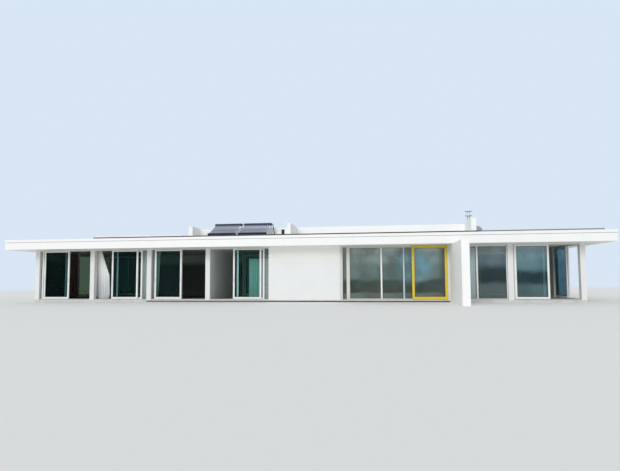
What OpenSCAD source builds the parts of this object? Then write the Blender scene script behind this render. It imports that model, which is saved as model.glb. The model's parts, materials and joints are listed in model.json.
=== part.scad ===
// Single-storey beach house with a long flat roof, white walls and sliding glass fronts.
// X runs along the front from left to right, Y from the front to the back, Z up.
// Plan places below are measured from the left end of the roof and from its front edge.

/* [Roof] */
// Overhang of the roof past the left corner columns
left_overhang = 1010; // [800:10:1400]
// Overhang of the roof past the right corner columns
right_overhang = 900; // [800:10:1400]
// Overhang of the roof in front of the glass line
front_overhang = 800; // [600:10:1200]
// Overhang of the roof behind the rear wall
back_overhang = 790; // [500:10:1200]
// Height of the fascia boards below their cap
fascia_h = 365; // [250:5:500]
// Thickness of the fascia boards
fascia_t = 40; // [30:1:60]
// Chamfer along the foot of the fascia boards
fascia_chamfer = 6; // [2:1:10]
// Width and depth of the drip groove under the fascia boards
drip_w = 8; // [4:1:12]
// Height of the cap on the roof's edge
cap_h = 105; // [60:5:150]
// Width of the cap on the roof's edge
cap_w = 160; // [100:5:250]
// How far the cap stands out past the fascia
cap_proud = 12; // [8:1:30]
// Drop of the cap's lip in front of the fascia
cap_lip = 14; // [8:1:24]
// Thickness of the cap's lip
cap_lip_t = 6; // [3:1:7]
// Fall of the cap's top towards the roof
cap_fall = 12; // [6:1:20]

/* [Raised deck] */
// Left end of the raised dark deck
deck_x = 4100; // [3000:10:6000]
// Set-back of the deck from the roof's front edge
deck_setback = 700; // [300:10:1000]
// Height of the deck over the roof slab
deck_h = 220; // [150:5:300]
// Height of the dark strip round the deck's edge
deck_edge_h = 60; // [40:5:100]
// How far that strip stands out past the deck's side
deck_edge_out = 15; // [8:1:30]
// Gap between the deck and the cap at the right end
deck_end_gap = 5; // [3:1:30]
// Length of the white kerb on the deck, up to the left blade wall
kerb_l = 4390; // [3000:10:5000]
// Height of the white kerb on the deck
kerb_h = 90; // [40:5:120]
// Width of the white kerb on the deck
kerb_w = 100; // [60:5:200]
// Fall of the kerb's top towards the front
kerb_fall = 8; // [4:1:15]
// Set-back of the kerb from the deck's front edge
kerb_setback = 150; // [50:10:300]

/* [Upper roof] */
// Thickness of the left blade wall
left_blade_t = 200; // [150:5:300]
// Set-back of the left blade wall from the roof's front edge
left_blade_y = 1680; // [1200:10:2400]
// Distance from the upper roof's left end to the middle blade wall
middle_blade_at = 4825; // [4000:5:5600]
// Thickness of the middle blade wall
middle_blade_t = 160; // [150:5:350]
// Set-back of the middle blade wall and the chimney wall from the roof's front edge
blade_front_y = 1100; // [900:10:1400]
// Height of the left and middle blade walls over the deck
blade_h = 560; // [450:5:700]
// Length of the upper roof between the left blade wall and the chimney wall
upper_l = 13045; // [11000:5:13500]
// Thickness of the chimney wall
chimney_t = 215; // [190:5:350]
// Height of the chimney wall over the deck
chimney_h = 615; // [500:5:900]
// Set-back of the upper roof's front from the roof's front edge
upper_front_y = 2600; // [2400:10:3000]
// Depth of the upper roof
upper_d = 3200; // [2000:50:3600]
// Height of the upper roof's walls
upper_wall_h = 420; // [200:5:450]
// Thickness of the upper roof's walls
upper_wall_t = 150; // [100:5:250]
// Thickness of the upper roof's slab
upper_slab_t = 80; // [60:5:150]
// Height of the rim round the upper roof's slab
upper_rim_h = 20; // [10:1:40]
// Width of the rim round the upper roof's slab
upper_rim_w = 90; // [60:5:150]

/* [Frame of the house] */
// Distance between column centres
module_l = 2895; // [2800:5:3000]
// Width of each column
column_w = 220; // [180:5:300]
// Height of the rooms from floor to ceiling
room_h = 2400; // [2300:10:2700]
// Thickness of the floor slab
floor_t = 100; // [80:5:200]
// Thickness of the side, rear and blank front walls
wall_t = 200; // [180:5:220]
// Length of the blank front wall
blank_wall_l = 3270; // [2600:10:3400]
// Length of the centre bay, up to the fin wall
centre_bay_l = 4750; // [4600:10:5200]
// Thickness of the fin wall
fin_t = 300; // [200:5:400]
// How far the fin wall runs out past the roof
fin_out = 1860; // [1000:10:2500]
// Length of the glazed bay beside the fin wall
fin_bay_l = 2110; // [1900:10:2600]
// Thickness of the inner partition
partition_t = 100; // [80:5:150]
// Length of the inner partition
partition_l = 3680; // [2000:10:4500]

/* [Heads and sills] */
// Height of the head above the leaves
head_h = 55; // [50:5:120]
// Depth of the groove in the head that the leaves run in
head_groove = 20; // [14:1:30]
// Height of the sill below the leaves
sill_h = 30; // [20:1:60]
// Chamfer along the sill's outer edge
sill_chamfer = 12; // [6:1:18]
// Depth of the heads and sills
track_d = 160; // [150:5:180]
// Height of the rails that the leaves run on
rail_h = 10; // [8:1:14]
// Width of the rails that the leaves run on
rail_w = 8; // [6:1:10]

/* [Leaves and panes] */
// Thickness of every leaf and pane frame
frame_t = 50; // [44:1:56]
// Gap between the two planes of the frames
plane_gap = 20; // [12:1:24]
// Width of the white frames' stiles
stile_w = 85; // [60:5:100]
// Width of the white frames' bottom rails
bottom_rail_w = 90; // [70:5:140]
// Width of the white frames' top rails
top_rail_w = 65; // [45:5:100]
// Width of the bead round each light
bead_w = 16; // [12:1:24]
// Set-back of the bead from the frame's face
bead_set = 6; // [3:1:9]
// Thickness of the glass
glass_t = 20; // [12:1:26]
// Depth of the glass in its frame
glass_bite = 12; // [8:1:20]
// Running clearance round the leaves
run_gap = 5; // [5:1:8]
// Width of the left wing's leaves
leaf_w = 1335; // [1320:5:1400]
// Width of the left wing's inner panes
pane_w = 1310; // [1290:5:1340]
// Width of the right wing's front leaf
right_leaf_w = 1400; // [1400:5:1480]
// Rest position of the right wing's front leaf from its column
right_leaf_at = 65; // [20:5:200]
// Width of the right side's leaf
side_leaf_w = 1370; // [1370:5:1430]
// Rest position of the right side's leaf from the middle column
side_leaf_at = 25; // [20:5:500]
// Width of the yellow leaf
yellow_leaf_w = 1510; // [1490:5:1560]
// Width of the yellow leaf's stiles and top rail
yellow_stile_w = 110; // [80:5:120]
// Width of the yellow leaf's bottom rail
yellow_foot_w = 130; // [100:5:160]
// Gap between the yellow leaf and the ceiling
soffit_gap = 15; // [10:1:25]
// Thickness of the guide that hangs from the ceiling into the yellow leaf's top
guide_w = 6; // [4:1:10]
// How far that guide reaches into the yellow leaf's top
guide_in = 10; // [6:1:16]
// Width of the centre's left jamb post
left_jamb_w = 110; // [80:5:160]
// Width of the centre's right jamb post
right_jamb_w = 80; // [60:5:110]
// Width of the centre's narrow side light
centre_light_w = 170; // [120:5:250]
// Width of the centre frame's left stile
wide_stile_w = 150; // [100:5:180]
// Distance from the centre frame's left edge to its first mullion
centre_mullion_at = 1507; // [1300:1:1600]
// Distance from the centre frame's left edge to its second mullion
second_mullion_at = 2486; // [2300:1:2520]
// Width of the rails in the centre and beside the fin wall, and of the latter's right stile
thin_rail_w = 35; // [30:5:60]
// Width of each mullion
mullion_w = 80; // [60:5:100]
// Distance from the fin wall to the mullion beside it
fin_light_w = 830; // [600:10:1000]

/* [Finger pulls] */
// Length of the finger pulls cut into the leaves' stiles
pull_l = 180; // [120:5:240]
// Width of the finger pulls
pull_w = 26; // [20:1:32]
// Depth of the finger pulls
pull_in = 12; // [8:1:16]
// Height of the finger pulls over the leaves' foot
pull_at = 900; // [800:10:1100]

/* [Rollers] */
// Diameter of the rollers
roller_d = 30; // [26:1:36]
// Depth of the groove round each roller
roller_groove = 2; // [1:0.5:3]
// Width of each roller's flanges
roller_flange = 3; // [2:0.5:4]
// Gap between a roller and its rail
roller_gap = 0.3; // [0.2:0.1:0.5]
// Gap between a roller's flanges and the sides of its rail
flange_gap = 0.5; // [0.3:0.1:1]
// Clearance round a roller in its slot
slot_gap = 3; // [2:0.5:5]
// Diameter of a roller's axle
axle_d = 8; // [6:1:12]

/* [Solar collectors] */
// Distance from the left blade wall to the collectors
solar_at = 920; // [600:5:1200]
// Set-back of the collectors from the roof's front edge
solar_y = 1300; // [950:5:1350]
// Width of one collector
solar_w = 1385; // [1200:5:1450]
// Gap between the collectors
solar_gap = 110; // [60:5:200]
// Length of the collectors up their slope
solar_l = 1320; // [1000:10:1350]
// Slope of the collectors
solar_tilt = 26; // [24:1:36]
// Number of tubes in one collector
tube_count = 14; // [10:1:16]
// Diameter of one tube
tube_d = 58; // [40:1:64]
// Distance from a collector's side to its first tube's field
tube_margin = 40; // [35:1:80]
// Size of the manifold's section
manifold_s = 120; // [100:5:140]
// Radius of the manifold's corners
manifold_r = 22; // [10:1:40]
// Thickness of the manifold's end plates
manifold_end_t = 8; // [4:1:15]
// Width of the collar round each tube at the manifold
collar_w = 5; // [3:1:8]
// Length of that collar
collar_l = 14; // [8:1:25]
// Size of the section of the collectors' rails and legs
solar_rail = 30; // [25:1:40]
// Wall of the collectors' metal sections
section_t = 4; // [3:0.5:6]
// Depth of the cup that holds the tubes' lower ends
cup_d = 45; // [40:1:60]
// Gap round the tubes in the cup
cup_gap = 1.5; // [1:0.5:3]
// Gap between the tubes and the cross bar under them
tube_gap = 0.3; // [0.2:0.1:1]
// Distance of the cross bar from the collectors' lower edge
cross_bar_at = 600; // [300:10:700]
// Height of the collectors' lower edge over the deck
solar_lift = 40; // [30:1:60]
// Distance of the rear legs from the collectors' upper edge
leg_in = 20; // [10:1:60]
// Step at each side from the collectors' rails in to their legs
leg_step = 1; // [0.5:0.5:3]
// Size of the plates under the collectors' feet
foot_plate = 90; // [70:5:120]
// Thickness of the plates under the collectors' feet
foot_plate_t = 8; // [5:1:12]

// Diameter of the pipe between the two manifolds
union_d = 42; // [30:1:60]
// Diameter of the lagged pipe from the manifolds down to the deck
lagged_d = 40; // [30:1:80]
// Length of the lagged pipe's level start
lagged_out = 60; // [45:5:100]
// How far the lagged pipe runs sideways while it drops
lagged_slant = 100; // [60:10:200]
// Height of the lagged pipe's upright foot
lagged_foot_h = 90; // [60:5:150]

/* [Roof fittings] */
// Diameter of the flue
flue_d = 150; // [120:5:170]
// Distance of the flue from the chimney wall's front end
flue_in = 1040; // [600:10:1600]
// Diameter of the cowl's plates
cowl_d = 330; // [240:5:340]
// Height of the flue and its cowl
cowl_h = 450; // [300:5:500]
// Height of the cowl's lower plate
cowl_low_h = 225; // [150:1:260]
// Thickness of the cowl's plates at their middle
plate_t = 18; // [12:1:24]
// Width and drop of the rim round the cowl's plates
plate_rim = 10; // [5:1:15]
// Diameter of the cowl's posts
post_d = 16; // [10:1:24]
// Number of the cowl's posts
post_count = 4; // [3:1:6]
// Width of the sloped collars round the flue and the pipe
flashing_w = 30; // [20:1:30]
// Height of the sloped collars round the flue and the pipe
flashing_h = 24; // [15:1:40]
// Diameter of the vent pipe
vent_d = 140; // [100:5:180]
// Height of the vent pipe
vent_h = 275; // [200:5:400]
// Gap between the vent pipe and the middle blade wall
vent_gap = 160; // [60:5:200]
// Distance of the vent pipe from the middle blade wall's front end
vent_in = 150; // [100:5:400]
// Diameter of the domed vent
dome_d = 570; // [500:10:640]
// Height of the domed vent's kerb
dome_kerb_h = 125; // [50:5:150]
// Width of the domed vent's foot flange
dome_flange_w = 15; // [8:1:20]
// Gap between the domed vent and the chimney wall
dome_gap = 25; // [22:1:80]
// Distance of the domed vent's centre in front of the upper roof
dome_front = 100; // [0:10:300]

/* [Curtains] */
// Thickness of a hanging curtain
curtain_t = 80; // [60:5:120]
// Gap between the curtains and the columns
curtain_back = 70; // [40:5:120]
// How far the wind-blown curtain starts behind its column
wind_behind = 180; // [0:10:200]
// How far the third bay's curtain starts behind its column
third_behind = 90; // [0:10:200]
// Gap between the other curtains and the end of their bay
curtain_in = 15; // [10:1:60]
// Gap under the curtains
curtain_gap = 12; // [5:1:40]
// Gap between a curtain and the ceiling that it hangs from
hook_gap = 0.3; // [0.2:0.1:1]
// Width of the wind-blown curtain at the ceiling
wind_top_w = 330; // [250:10:500]
// Width of the wind-blown curtain at the floor
wind_foot_w = 810; // [600:10:900]
// Height over the floor up to which the wind-blown curtain is wide
wind_shoulder = 1150; // [100:10:1500]
// Width of the curtain at the second bay's right end
short_curtain_w = 400; // [150:5:400]
// Width of the curtain in the third bay
third_curtain_w = 410; // [300:10:800]
// Width of the curtain in the fourth bay
fourth_curtain_w = 1000; // [500:10:1050]
// Width of the curtain beside the fin wall
right_curtain_w = 850; // [500:10:900]
// Width of the curtain at the left side, in front of its window
side_curtain_w = 700; // [250:10:900]

/* [Hidden] */

WHITE = [0.94, 0.94, 0.93];
FRAME_WHITE = [0.9, 0.9, 0.88];
BEIGE = [0.76, 0.74, 0.68];
YELLOW = [0.86, 0.74, 0.16];
CONCRETE = [0.72, 0.71, 0.69];
DARK = [0.2, 0.21, 0.22];
GREY = [0.55, 0.57, 0.59];
TUBE_BLUE = [0.35, 0.4, 0.48];
GLASS = [0.35, 0.45, 0.47, 0.5];
CLOTH = [0.88, 0.88, 0.85];
// How far a cut runs past the face that it opens
cut = 1;

// Plan of the house: the left wing's four bays, the blank wall, the centre and the right wing
half_column = column_w / 2;
house_left_x = left_overhang;
column_x = [for (i = [0:3]) house_left_x + half_column + i * module_l];
blank_x = column_x[3] + module_l;
blank_end_x = blank_x + blank_wall_l;
fin_x = blank_end_x + centre_bay_l;
fin_end_x = fin_x + fin_t;
fin_bay_end_x = fin_end_x + fin_bay_l;
corner_x = fin_bay_end_x + half_column + module_l;
right_x = [fin_bay_end_x + half_column, corner_x];
house_right_x = corner_x + half_column;
roof_l = house_right_x + right_overhang;
front_y = front_overhang;
column_back_y = front_y + column_w;
middle_row_y = front_y + module_l;
back_row_y = front_y + 2 * module_l;
house_back_y = back_row_y + column_w;
house_d = house_back_y - front_y;
roof_d = house_back_y + back_overhang;
rear_wall_y = house_back_y - wall_t;

// Levels
floor_z = floor_t;
soffit_z = floor_z + room_h;
slab_top_z = soffit_z + fascia_h;
deck_z = slab_top_z + deck_h;
sill_z = floor_z + sill_h;
head_z = soffit_z - head_h;
upper_slab_z = deck_z + upper_wall_h;
pane_h = head_z - sill_z;
leaf_z = sill_z + rail_h + run_gap;
leaf_h = head_z + head_groove - run_gap - leaf_z;
yellow_z = floor_z + rail_h + run_gap;
yellow_h = soffit_z - soffit_gap - yellow_z;

// Planes of the sliding leaves and of the fixed panes, from the outer edge of the tracks
leaf_in = (track_d - 2 * frame_t - plane_gap) / 2;
track_y = front_y + (column_w - track_d) / 2;
leaf_y = track_y + leaf_in;
pane_y = leaf_y + frame_t + plane_gap;
open_in = leaf_in + frame_t + run_gap;
side_track_x = house_right_x - (column_w - track_d) / 2;
side_leaf_x = side_track_x - leaf_in;
side_pane_x = side_leaf_x - frame_t - plane_gap;
left_track_x = house_left_x + (column_w - track_d) / 2;
rear_track_y = house_back_y - (wall_t - track_d) / 2;

// The left wing's bays: width of the fixed light beside each pane, the end that it is at,
// and how far each leaf stands from that end
light_w = [50, 285, 170, 220];
parked_left = [true, false, true, false];
leaf_at = [210, 475, 155, 355];
bay_start = [for (i = [0:3]) column_x[i] + half_column];
bay_end = [for (i = [0:3]) i < 3 ? column_x[i + 1] - half_column : blank_x];
pane_x = [for (i = [0:3]) parked_left[i] ? bay_start[i] + light_w[i] : bay_end[i] - light_w[i] - pane_w];
light_x = [for (i = [0:3]) parked_left[i] ? bay_start[i] : bay_end[i] - light_w[i]];
leaf_x = [for (i = [0:3]) parked_left[i] ? bay_start[i] + leaf_at[i] : bay_end[i] - leaf_at[i] - leaf_w];

// The centre bay and the right wing
centre_start_x = blank_end_x + left_jamb_w;
centre_frame_x = centre_start_x + centre_light_w;
yellow_x = fin_x - right_jamb_w - run_gap - yellow_leaf_w;
centre_frame_w = yellow_x + yellow_stile_w - centre_frame_x;
right_bay_x = right_x[0] + half_column;
right_bay_end_x = corner_x - half_column;
right_leaf_x = right_bay_x + right_leaf_at;
side_bay_l = middle_row_y - column_back_y;
side_leaf_y = middle_row_y - side_leaf_at - side_leaf_w;
left_bay_l = module_l - column_w;

// Clear stretches along the front and the rear wall that have a head and a sill; in the centre
// both stand behind the yellow leaf
centre_bay = 4;
front_bays = [
    for (i = [0:3]) [bay_start[i], bay_end[i]],
    [centre_start_x, fin_x - right_jamb_w],
    [fin_end_x, fin_bay_end_x],
    [right_bay_x, right_bay_end_x]
];
rear_bays = [
    [bay_start[0], bay_end[0]],
    [bay_start[3], column_x[3] + module_l - half_column],
    [centre_frame_x, centre_frame_x + centre_frame_w],
    [right_bay_x, right_bay_end_x]
];

// Uprights of each kind of frame, as the left and right edges of its lights
pane_lights = [[stile_w, pane_w - stile_w]];
side_pane_lights = [[stile_w, side_leaf_w - stile_w]];
centre_lights = [
    [wide_stile_w, centre_mullion_at],
    [centre_mullion_at + mullion_w, second_mullion_at],
    [second_mullion_at + mullion_w, centre_frame_w - stile_w]
];
fin_lights = [[stile_w, fin_light_w], [fin_light_w + mullion_w, fin_bay_l - thin_rail_w]];
function even_lights(w) = [[stile_w, (w - mullion_w) / 2], [(w + mullion_w) / 2, w - stile_w]];

// The roof's upper parts
left_blade_x = deck_x + kerb_l;
upper_x = left_blade_x + left_blade_t;
middle_blade_x = upper_x + middle_blade_at;
chimney_x = upper_x + upper_l;
upper_back_y = upper_front_y + upper_d;
deck_l = roof_l - cap_w - deck_end_gap - deck_x;
deck_d = house_back_y - deck_setback;
solar_x = upper_x + solar_at;

module place() {
    translate([-roof_l / 2, -(roof_d - fin_out) / 2, 0]) children();
}

module box(x, y, z, l, d, h) {
    translate([x, y, z]) cube([l, d, h]);
}

// A profile, drawn with x inwards and y up, run along X
module run(l) {
    rotate([90, 0, 90]) linear_extrude(l) children();
}

// The same with ends mitred at 45 degrees for a profile of width w and a height up to h
module mitred_run(l, w, h) {
    intersection() {
        run(l) children();
        translate([0, 0, -h]) linear_extrude(2 * h) polygon([[0, 0], [l, 0], [l - w, w], [w, w]]);
    }
}

// Four mitred runs round a rectangle of l by d
module rim(l, d, w, h) {
    mitred_run(l, w, h) children();
    translate([l, 0, 0]) rotate(90) mitred_run(d, w, h) children();
    translate([l, d, 0]) rotate(180) mitred_run(l, w, h) children();
    translate([0, d, 0]) rotate(270) mitred_run(d, w, h) children();
}

module floor_slab() {
    color(CONCRETE) place()
        box(house_left_x, front_y, 0, house_right_x - house_left_x, house_d, floor_t);
}

module column(x, y) {
    box(x - half_column, y, floor_z, column_w, column_w, room_h);
}

module columns() {
    color(WHITE) place() {
        for (x = [each column_x, each right_x]) column(x, front_y);
        for (x = [column_x[0], corner_x], y = [middle_row_y, back_row_y]) column(x, y);
    }
}

module front_wall() {
    color(WHITE) place()
        box(blank_x, front_y, floor_z, blank_wall_l, wall_t, room_h);
}

// The fin wall stands on the ground outside and on the floor slab inside
module fin_wall() {
    color(WHITE) place() translate([fin_x, 0, 0]) run(fin_t)
        polygon([[-fin_out, 0], [front_y, 0], [front_y, floor_z], [column_back_y, floor_z],
            [column_back_y, soffit_z], [-fin_out, soffit_z]]);
}

module rear_wall() {
    color(WHITE) place() for (i = [0:len(rear_bays) - 2]) {
        start = rear_bays[i][1];
        box(start, rear_wall_y, floor_z, rear_bays[i + 1][0] - start, wall_t, room_h);
    }
}

module side_walls() {
    color(WHITE) place() {
        box(house_left_x, column_back_y, floor_z, wall_t, side_bay_l, room_h);
        box(house_right_x - wall_t, middle_row_y + column_w, floor_z, wall_t, left_bay_l, room_h);
    }
}

module partition_wall() {
    color(WHITE) place()
        box(column_x[3] - partition_t / 2, column_back_y, floor_z, partition_t, partition_l, room_h);
}

module roof_slab() {
    edge = cap_proud + fascia_t;
    color(WHITE) place()
        box(edge, edge, soffit_z, roof_l - 2 * edge, roof_d - 2 * edge, fascia_h);
}

// Section of a fascia board: its foot is chamfered and has a drip groove
module fascia_profile() {
    difference() {
        polygon([[fascia_chamfer, 0], [fascia_t, 0], [fascia_t, fascia_h], [0, fascia_h],
            [0, fascia_chamfer]]);
        translate([(fascia_t - drip_w) / 2, -cut]) square([drip_w, drip_w + cut]);
    }
}

module fascia_run(l) {
    mitred_run(l, fascia_t, fascia_h + cut) fascia_profile();
}

fascia_l = roof_l - 2 * cap_proud;
fascia_d = roof_d - 2 * cap_proud;

module front_fascia() {
    color(WHITE) place() translate([cap_proud, cap_proud, soffit_z]) fascia_run(fascia_l);
}

module back_fascia() {
    color(WHITE) place() translate([roof_l - cap_proud, roof_d - cap_proud, soffit_z]) rotate(180)
        fascia_run(fascia_l);
}

module end_fascias() {
    color(WHITE) place() {
        translate([roof_l - cap_proud, cap_proud, soffit_z]) rotate(90) fascia_run(fascia_d);
        translate([cap_proud, roof_d - cap_proud, soffit_z]) rotate(270) fascia_run(fascia_d);
    }
}

// Folded cap on the roof's edge, with a lip that hangs in front of the fascia
module cap_flashings() {
    color(WHITE) place() translate([0, 0, slab_top_z]) rim(roof_l, roof_d, cap_w, cap_h + cut)
        polygon([[0, -cap_lip], [cap_lip_t, -cap_lip], [cap_lip_t, 0], [cap_w, 0],
            [cap_w, cap_h - cap_fall], [0, cap_h]]);
}

module raised_deck() {
    inset = deck_edge_out;
    color(DARK) place() {
        box(deck_x + inset, deck_setback + inset, slab_top_z, deck_l - inset, deck_d - 2 * inset,
            deck_h - deck_edge_h);
        box(deck_x, deck_setback, deck_z - deck_edge_h, deck_l, deck_d, deck_edge_h);
    }
}

module deck_kerb() {
    color(WHITE) place() translate([deck_x, deck_setback + kerb_setback, deck_z]) run(kerb_l)
        polygon([[0, 0], [kerb_w, 0], [kerb_w, kerb_h], [0, kerb_h - kerb_fall]]);
}

module blade_walls() {
    color(WHITE) place() {
        box(left_blade_x, left_blade_y, deck_z, left_blade_t, upper_back_y - left_blade_y, blade_h);
        box(middle_blade_x, blade_front_y, deck_z, middle_blade_t, upper_front_y - blade_front_y, blade_h);
    }
}

module chimney_wall() {
    color(WHITE) place()
        box(chimney_x, blade_front_y, deck_z, chimney_t, upper_back_y - blade_front_y, chimney_h);
}

module upper_roof_walls() {
    color(WHITE) place()
        for (y = [upper_front_y, upper_back_y - upper_wall_t])
            box(upper_x, y, deck_z, upper_l, upper_wall_t, upper_wall_h);
}

// Slab of the upper roof with a sloped rim round it
module upper_roof_slab() {
    color(WHITE) place() {
        box(upper_x, upper_front_y, upper_slab_z, upper_l, upper_d, upper_slab_t);
        translate([upper_x, upper_front_y, upper_slab_z + upper_slab_t])
            rim(upper_l, upper_d, upper_rim_w, upper_rim_h + cut)
                polygon([[0, 0], [upper_rim_w, 0], [0, upper_rim_h]]);
    }
}

// Turned section of one of the cowl's plates, up to height h at its middle
module plate_profile(h) {
    r = cowl_d / 2;
    polygon([[0, h - plate_t], [r - plate_rim, h - plate_t], [r - plate_rim, h - plate_t - plate_rim],
        [r, h - plate_t - plate_rim], [r, h - plate_t + plate_rim / 2], [0, h]]);
}

// Turned section of a pipe on a sloped collar
module pipe_profile(d, h) {
    square([d / 2, h]);
    polygon([[0, 0], [d / 2 + flashing_w, 0], [d / 2, flashing_h], [0, flashing_h]]);
}

// Flue on the chimney wall with two round plates on posts
module flue_cowl() {
    color(GREY) place()
        translate([chimney_x + chimney_t / 2, blade_front_y + flue_in, deck_z + chimney_h]) {
            rotate_extrude($fn = 48) {
                pipe_profile(flue_d, cowl_low_h);
                plate_profile(cowl_low_h + plate_t);
                plate_profile(cowl_h);
            }
            for (i = [0:post_count - 1])
                rotate((i + 0.5) * 360 / post_count) translate([flue_d / 2, 0, cowl_low_h])
                    cylinder(d = post_d, h = cowl_h - plate_t / 2 - cowl_low_h, $fn = 24);
        }
}

module vent_pipe() {
    cap_over = 12;
    color(DARK) place()
        translate([middle_blade_x - vent_gap - vent_d / 2, blade_front_y + vent_in, deck_z])
            rotate_extrude($fn = 48) {
                pipe_profile(vent_d, vent_h - plate_t);
                translate([0, vent_h - plate_t])
                    polygon([[0, 0], [vent_d / 2 + cap_over, 0], [vent_d / 2 + cap_over, plate_t / 2],
                        [0, plate_t]]);
            }
}

// Domed vent: a turned foot flange, kerb and bead under a half sphere
module domed_vent() {
    r = dome_d / 2;
    bead = 10;
    color(GREY) place()
        translate([chimney_x + chimney_t + dome_gap + r, upper_front_y - dome_front, deck_z])
            rotate_extrude($fn = 64) {
                square([r - bead, dome_kerb_h]);
                polygon([[0, 0], [r + dome_flange_w, 0], [r - bead, dome_flange_w], [0, dome_flange_w]]);
                translate([0, dome_kerb_h - 2 * bead]) square([r, 2 * bead]);
                translate([0, dome_kerb_h]) intersection() {
                    circle(r - bead / 2, $fn = 96);
                    square(r);
                }
            }
}

// A collector's own frame: X along it, Y up its slope, Z out of its face
module solar_place(i) {
    translate([solar_x + i * (solar_w + solar_gap), solar_y, deck_z + solar_lift]) rotate([solar_tilt, 0, 0])
        children();
}

tube_z = solar_rail + manifold_s / 2;
tube_pitch = (solar_w - 2 * tube_margin) / tube_count;
collar_y = solar_l - manifold_s - collar_l;

// Centre lines of a collector's tubes, with Y up the slope
module tube_places(y) {
    for (n = [0:tube_count - 1])
        translate([tube_margin + (n + 0.5) * tube_pitch, y, tube_z]) rotate([-90, 0, 0]) children();
}

// A square with round corners, with its lower left corner at the origin
module rounded_square(s, r) {
    translate([r, 0]) square([s - 2 * r, s]);
    translate([0, r]) square([s, s - 2 * r]);
    for (x = [r, s - r], y = [r, s - r]) translate([x, y]) circle(r, $fn = 32);
}

// A round rod of diameter d from p to q with a slightly wider ball at q
module rod(p, q, d) {
    v = q - p;
    ball_over = 2;
    translate(p) rotate([0, acos(v[2] / norm(v)), atan2(v[1], v[0])]) cylinder(d = d, h = norm(v), $fn = 32);
    translate(q) sphere(d = d + ball_over, $fn = 32);
}

// Lagged pipe from the second manifold's end, sideways and down to its foot on the deck
module lagged_pipe() {
    a = solar_tilt;
    y = solar_l - manifold_s / 2;
    end = [
        solar_x + 2 * solar_w + solar_gap,
        solar_y + y * cos(a) - tube_z * sin(a),
        deck_z + solar_lift + y * sin(a) + tube_z * cos(a)
    ];
    bend = end + [lagged_out, 0, 0];
    foot = [bend[0] + lagged_slant, bend[1], deck_z + lagged_foot_h];
    rod(end - [cut, 0, 0], bend, lagged_d);
    rod(bend, foot, lagged_d);
    translate([foot[0], foot[1], deck_z]) rotate_extrude($fn = 48) pipe_profile(lagged_d, lagged_foot_h);
}

// Manifolds with their end plates and collars, joined by a pipe
module solar_manifolds() {
    lip = 3;
    color(DARK) place() lagged_pipe();
    color(DARK) place() solar_place(0) translate([solar_w - cut, solar_l - manifold_s / 2, tube_z])
        rotate([0, 90, 0]) cylinder(d = union_d, h = solar_gap + 2 * cut, $fn = 32);
    color(DARK) place() for (i = [0, 1]) solar_place(i) {
        translate([0, solar_l - manifold_s, solar_rail]) run(solar_w) rounded_square(manifold_s, manifold_r);
        for (x = [0, solar_w - manifold_end_t]) translate([x, solar_l - manifold_s, solar_rail])
            run(manifold_end_t) translate([-lip, 0]) rounded_square(manifold_s + lip, manifold_r);
        tube_places(collar_y) cylinder(d = tube_d + 2 * collar_w, h = collar_l + cut, $fn = 32);
    }
}

module solar_tubes() {
    end_y = section_t + 2 * cup_gap + tube_d / 2;
    color(TUBE_BLUE) place() for (i = [0, 1]) solar_place(i) tube_places(end_y) {
        cylinder(d = tube_d, h = collar_y - end_y, $fn = 32);
        sphere(d = tube_d, $fn = 32);
    }
}

// Section of the channel that holds the tubes' lower ends, over a hollow foot
module cup_profile() {
    cup_h = tube_d + 2 * cup_gap;
    low = tube_z - cup_h / 2;
    difference() {
        translate([0, solar_rail]) square([cup_d, tube_z + cup_h / 2 + section_t - solar_rail]);
        translate([section_t, low]) square([cup_d, cup_h]);
        translate([section_t, solar_rail + section_t])
            square([cup_d - 2 * section_t, low - solar_rail - 2 * section_t]);
    }
}

// Side of a leg of depth d at y, with its top cut to the slope and let into the rail above it
module leg_profile(y, d) {
    function top(y) = solar_lift + y * tan(solar_tilt) + section_t / 2;
    polygon([[y, 0], [y + d, 0], [y + d, top(y + d)], [y, top(y)]]);
}

// Sloping rails, cup, cross bar, and under each rail a foot, a base rail and a rear leg
module solar_frames() {
    leg_w = solar_rail - 2 * leg_step;
    leg_y = solar_l * cos(solar_tilt) - solar_rail - leg_in;
    plate_in = (foot_plate - solar_rail) / 2;
    color(GREY) place() for (i = [0, 1]) {
        solar_place(i) {
            for (x = [0, solar_w - solar_rail]) translate([x, 0, 0]) difference() {
                cube([solar_rail, solar_l, solar_rail]);
                translate([section_t, cup_d, section_t])
                    cube([solar_rail - 2 * section_t, solar_l - cup_d - manifold_s, solar_rail]);
            }
            run(solar_w) cup_profile();
            translate([0, cross_bar_at, solar_rail])
                cube([solar_w, solar_rail, tube_z - tube_d / 2 - tube_gap - solar_rail]);
        }
        for (x = [0, solar_w - solar_rail])
            translate([solar_x + i * (solar_w + solar_gap) + x, solar_y, deck_z]) {
            translate([leg_step, 0, 0]) {
                run(leg_w) leg_profile(leg_y, solar_rail);
                run(leg_w) leg_profile(section_t, cup_d);
                box(0, section_t, foot_plate_t, leg_w, leg_y, solar_rail / 2);
            }
            for (y = [section_t, leg_y - plate_in])
                box(-plate_in, y, 0, foot_plate, foot_plate, foot_plate_t);
        }
    }
}

// Bays with sliding leaves, each with X along it and Y inwards
module sliding_bays(z) {
    for (i = [0:len(front_bays) - 1]) translate([front_bays[i][0], track_y, z]) {
        $bay_l = front_bays[i][1] - front_bays[i][0];
        $open = i == centre_bay;
        children();
    }
    translate([side_track_x, column_back_y, z]) rotate(90) {
        $bay_l = side_bay_l;
        $open = false;
        children();
    }
}

// Bays with fixed frames only, in the rear wall and the left side
module fixed_bays(z) {
    for (b = rear_bays) translate([b[1], rear_track_y, z]) rotate(180) {
        $bay_l = b[1] - b[0];
        children();
    }
    translate([left_track_x, back_row_y, z]) rotate(270) {
        $bay_l = left_bay_l;
        children();
    }
}

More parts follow.
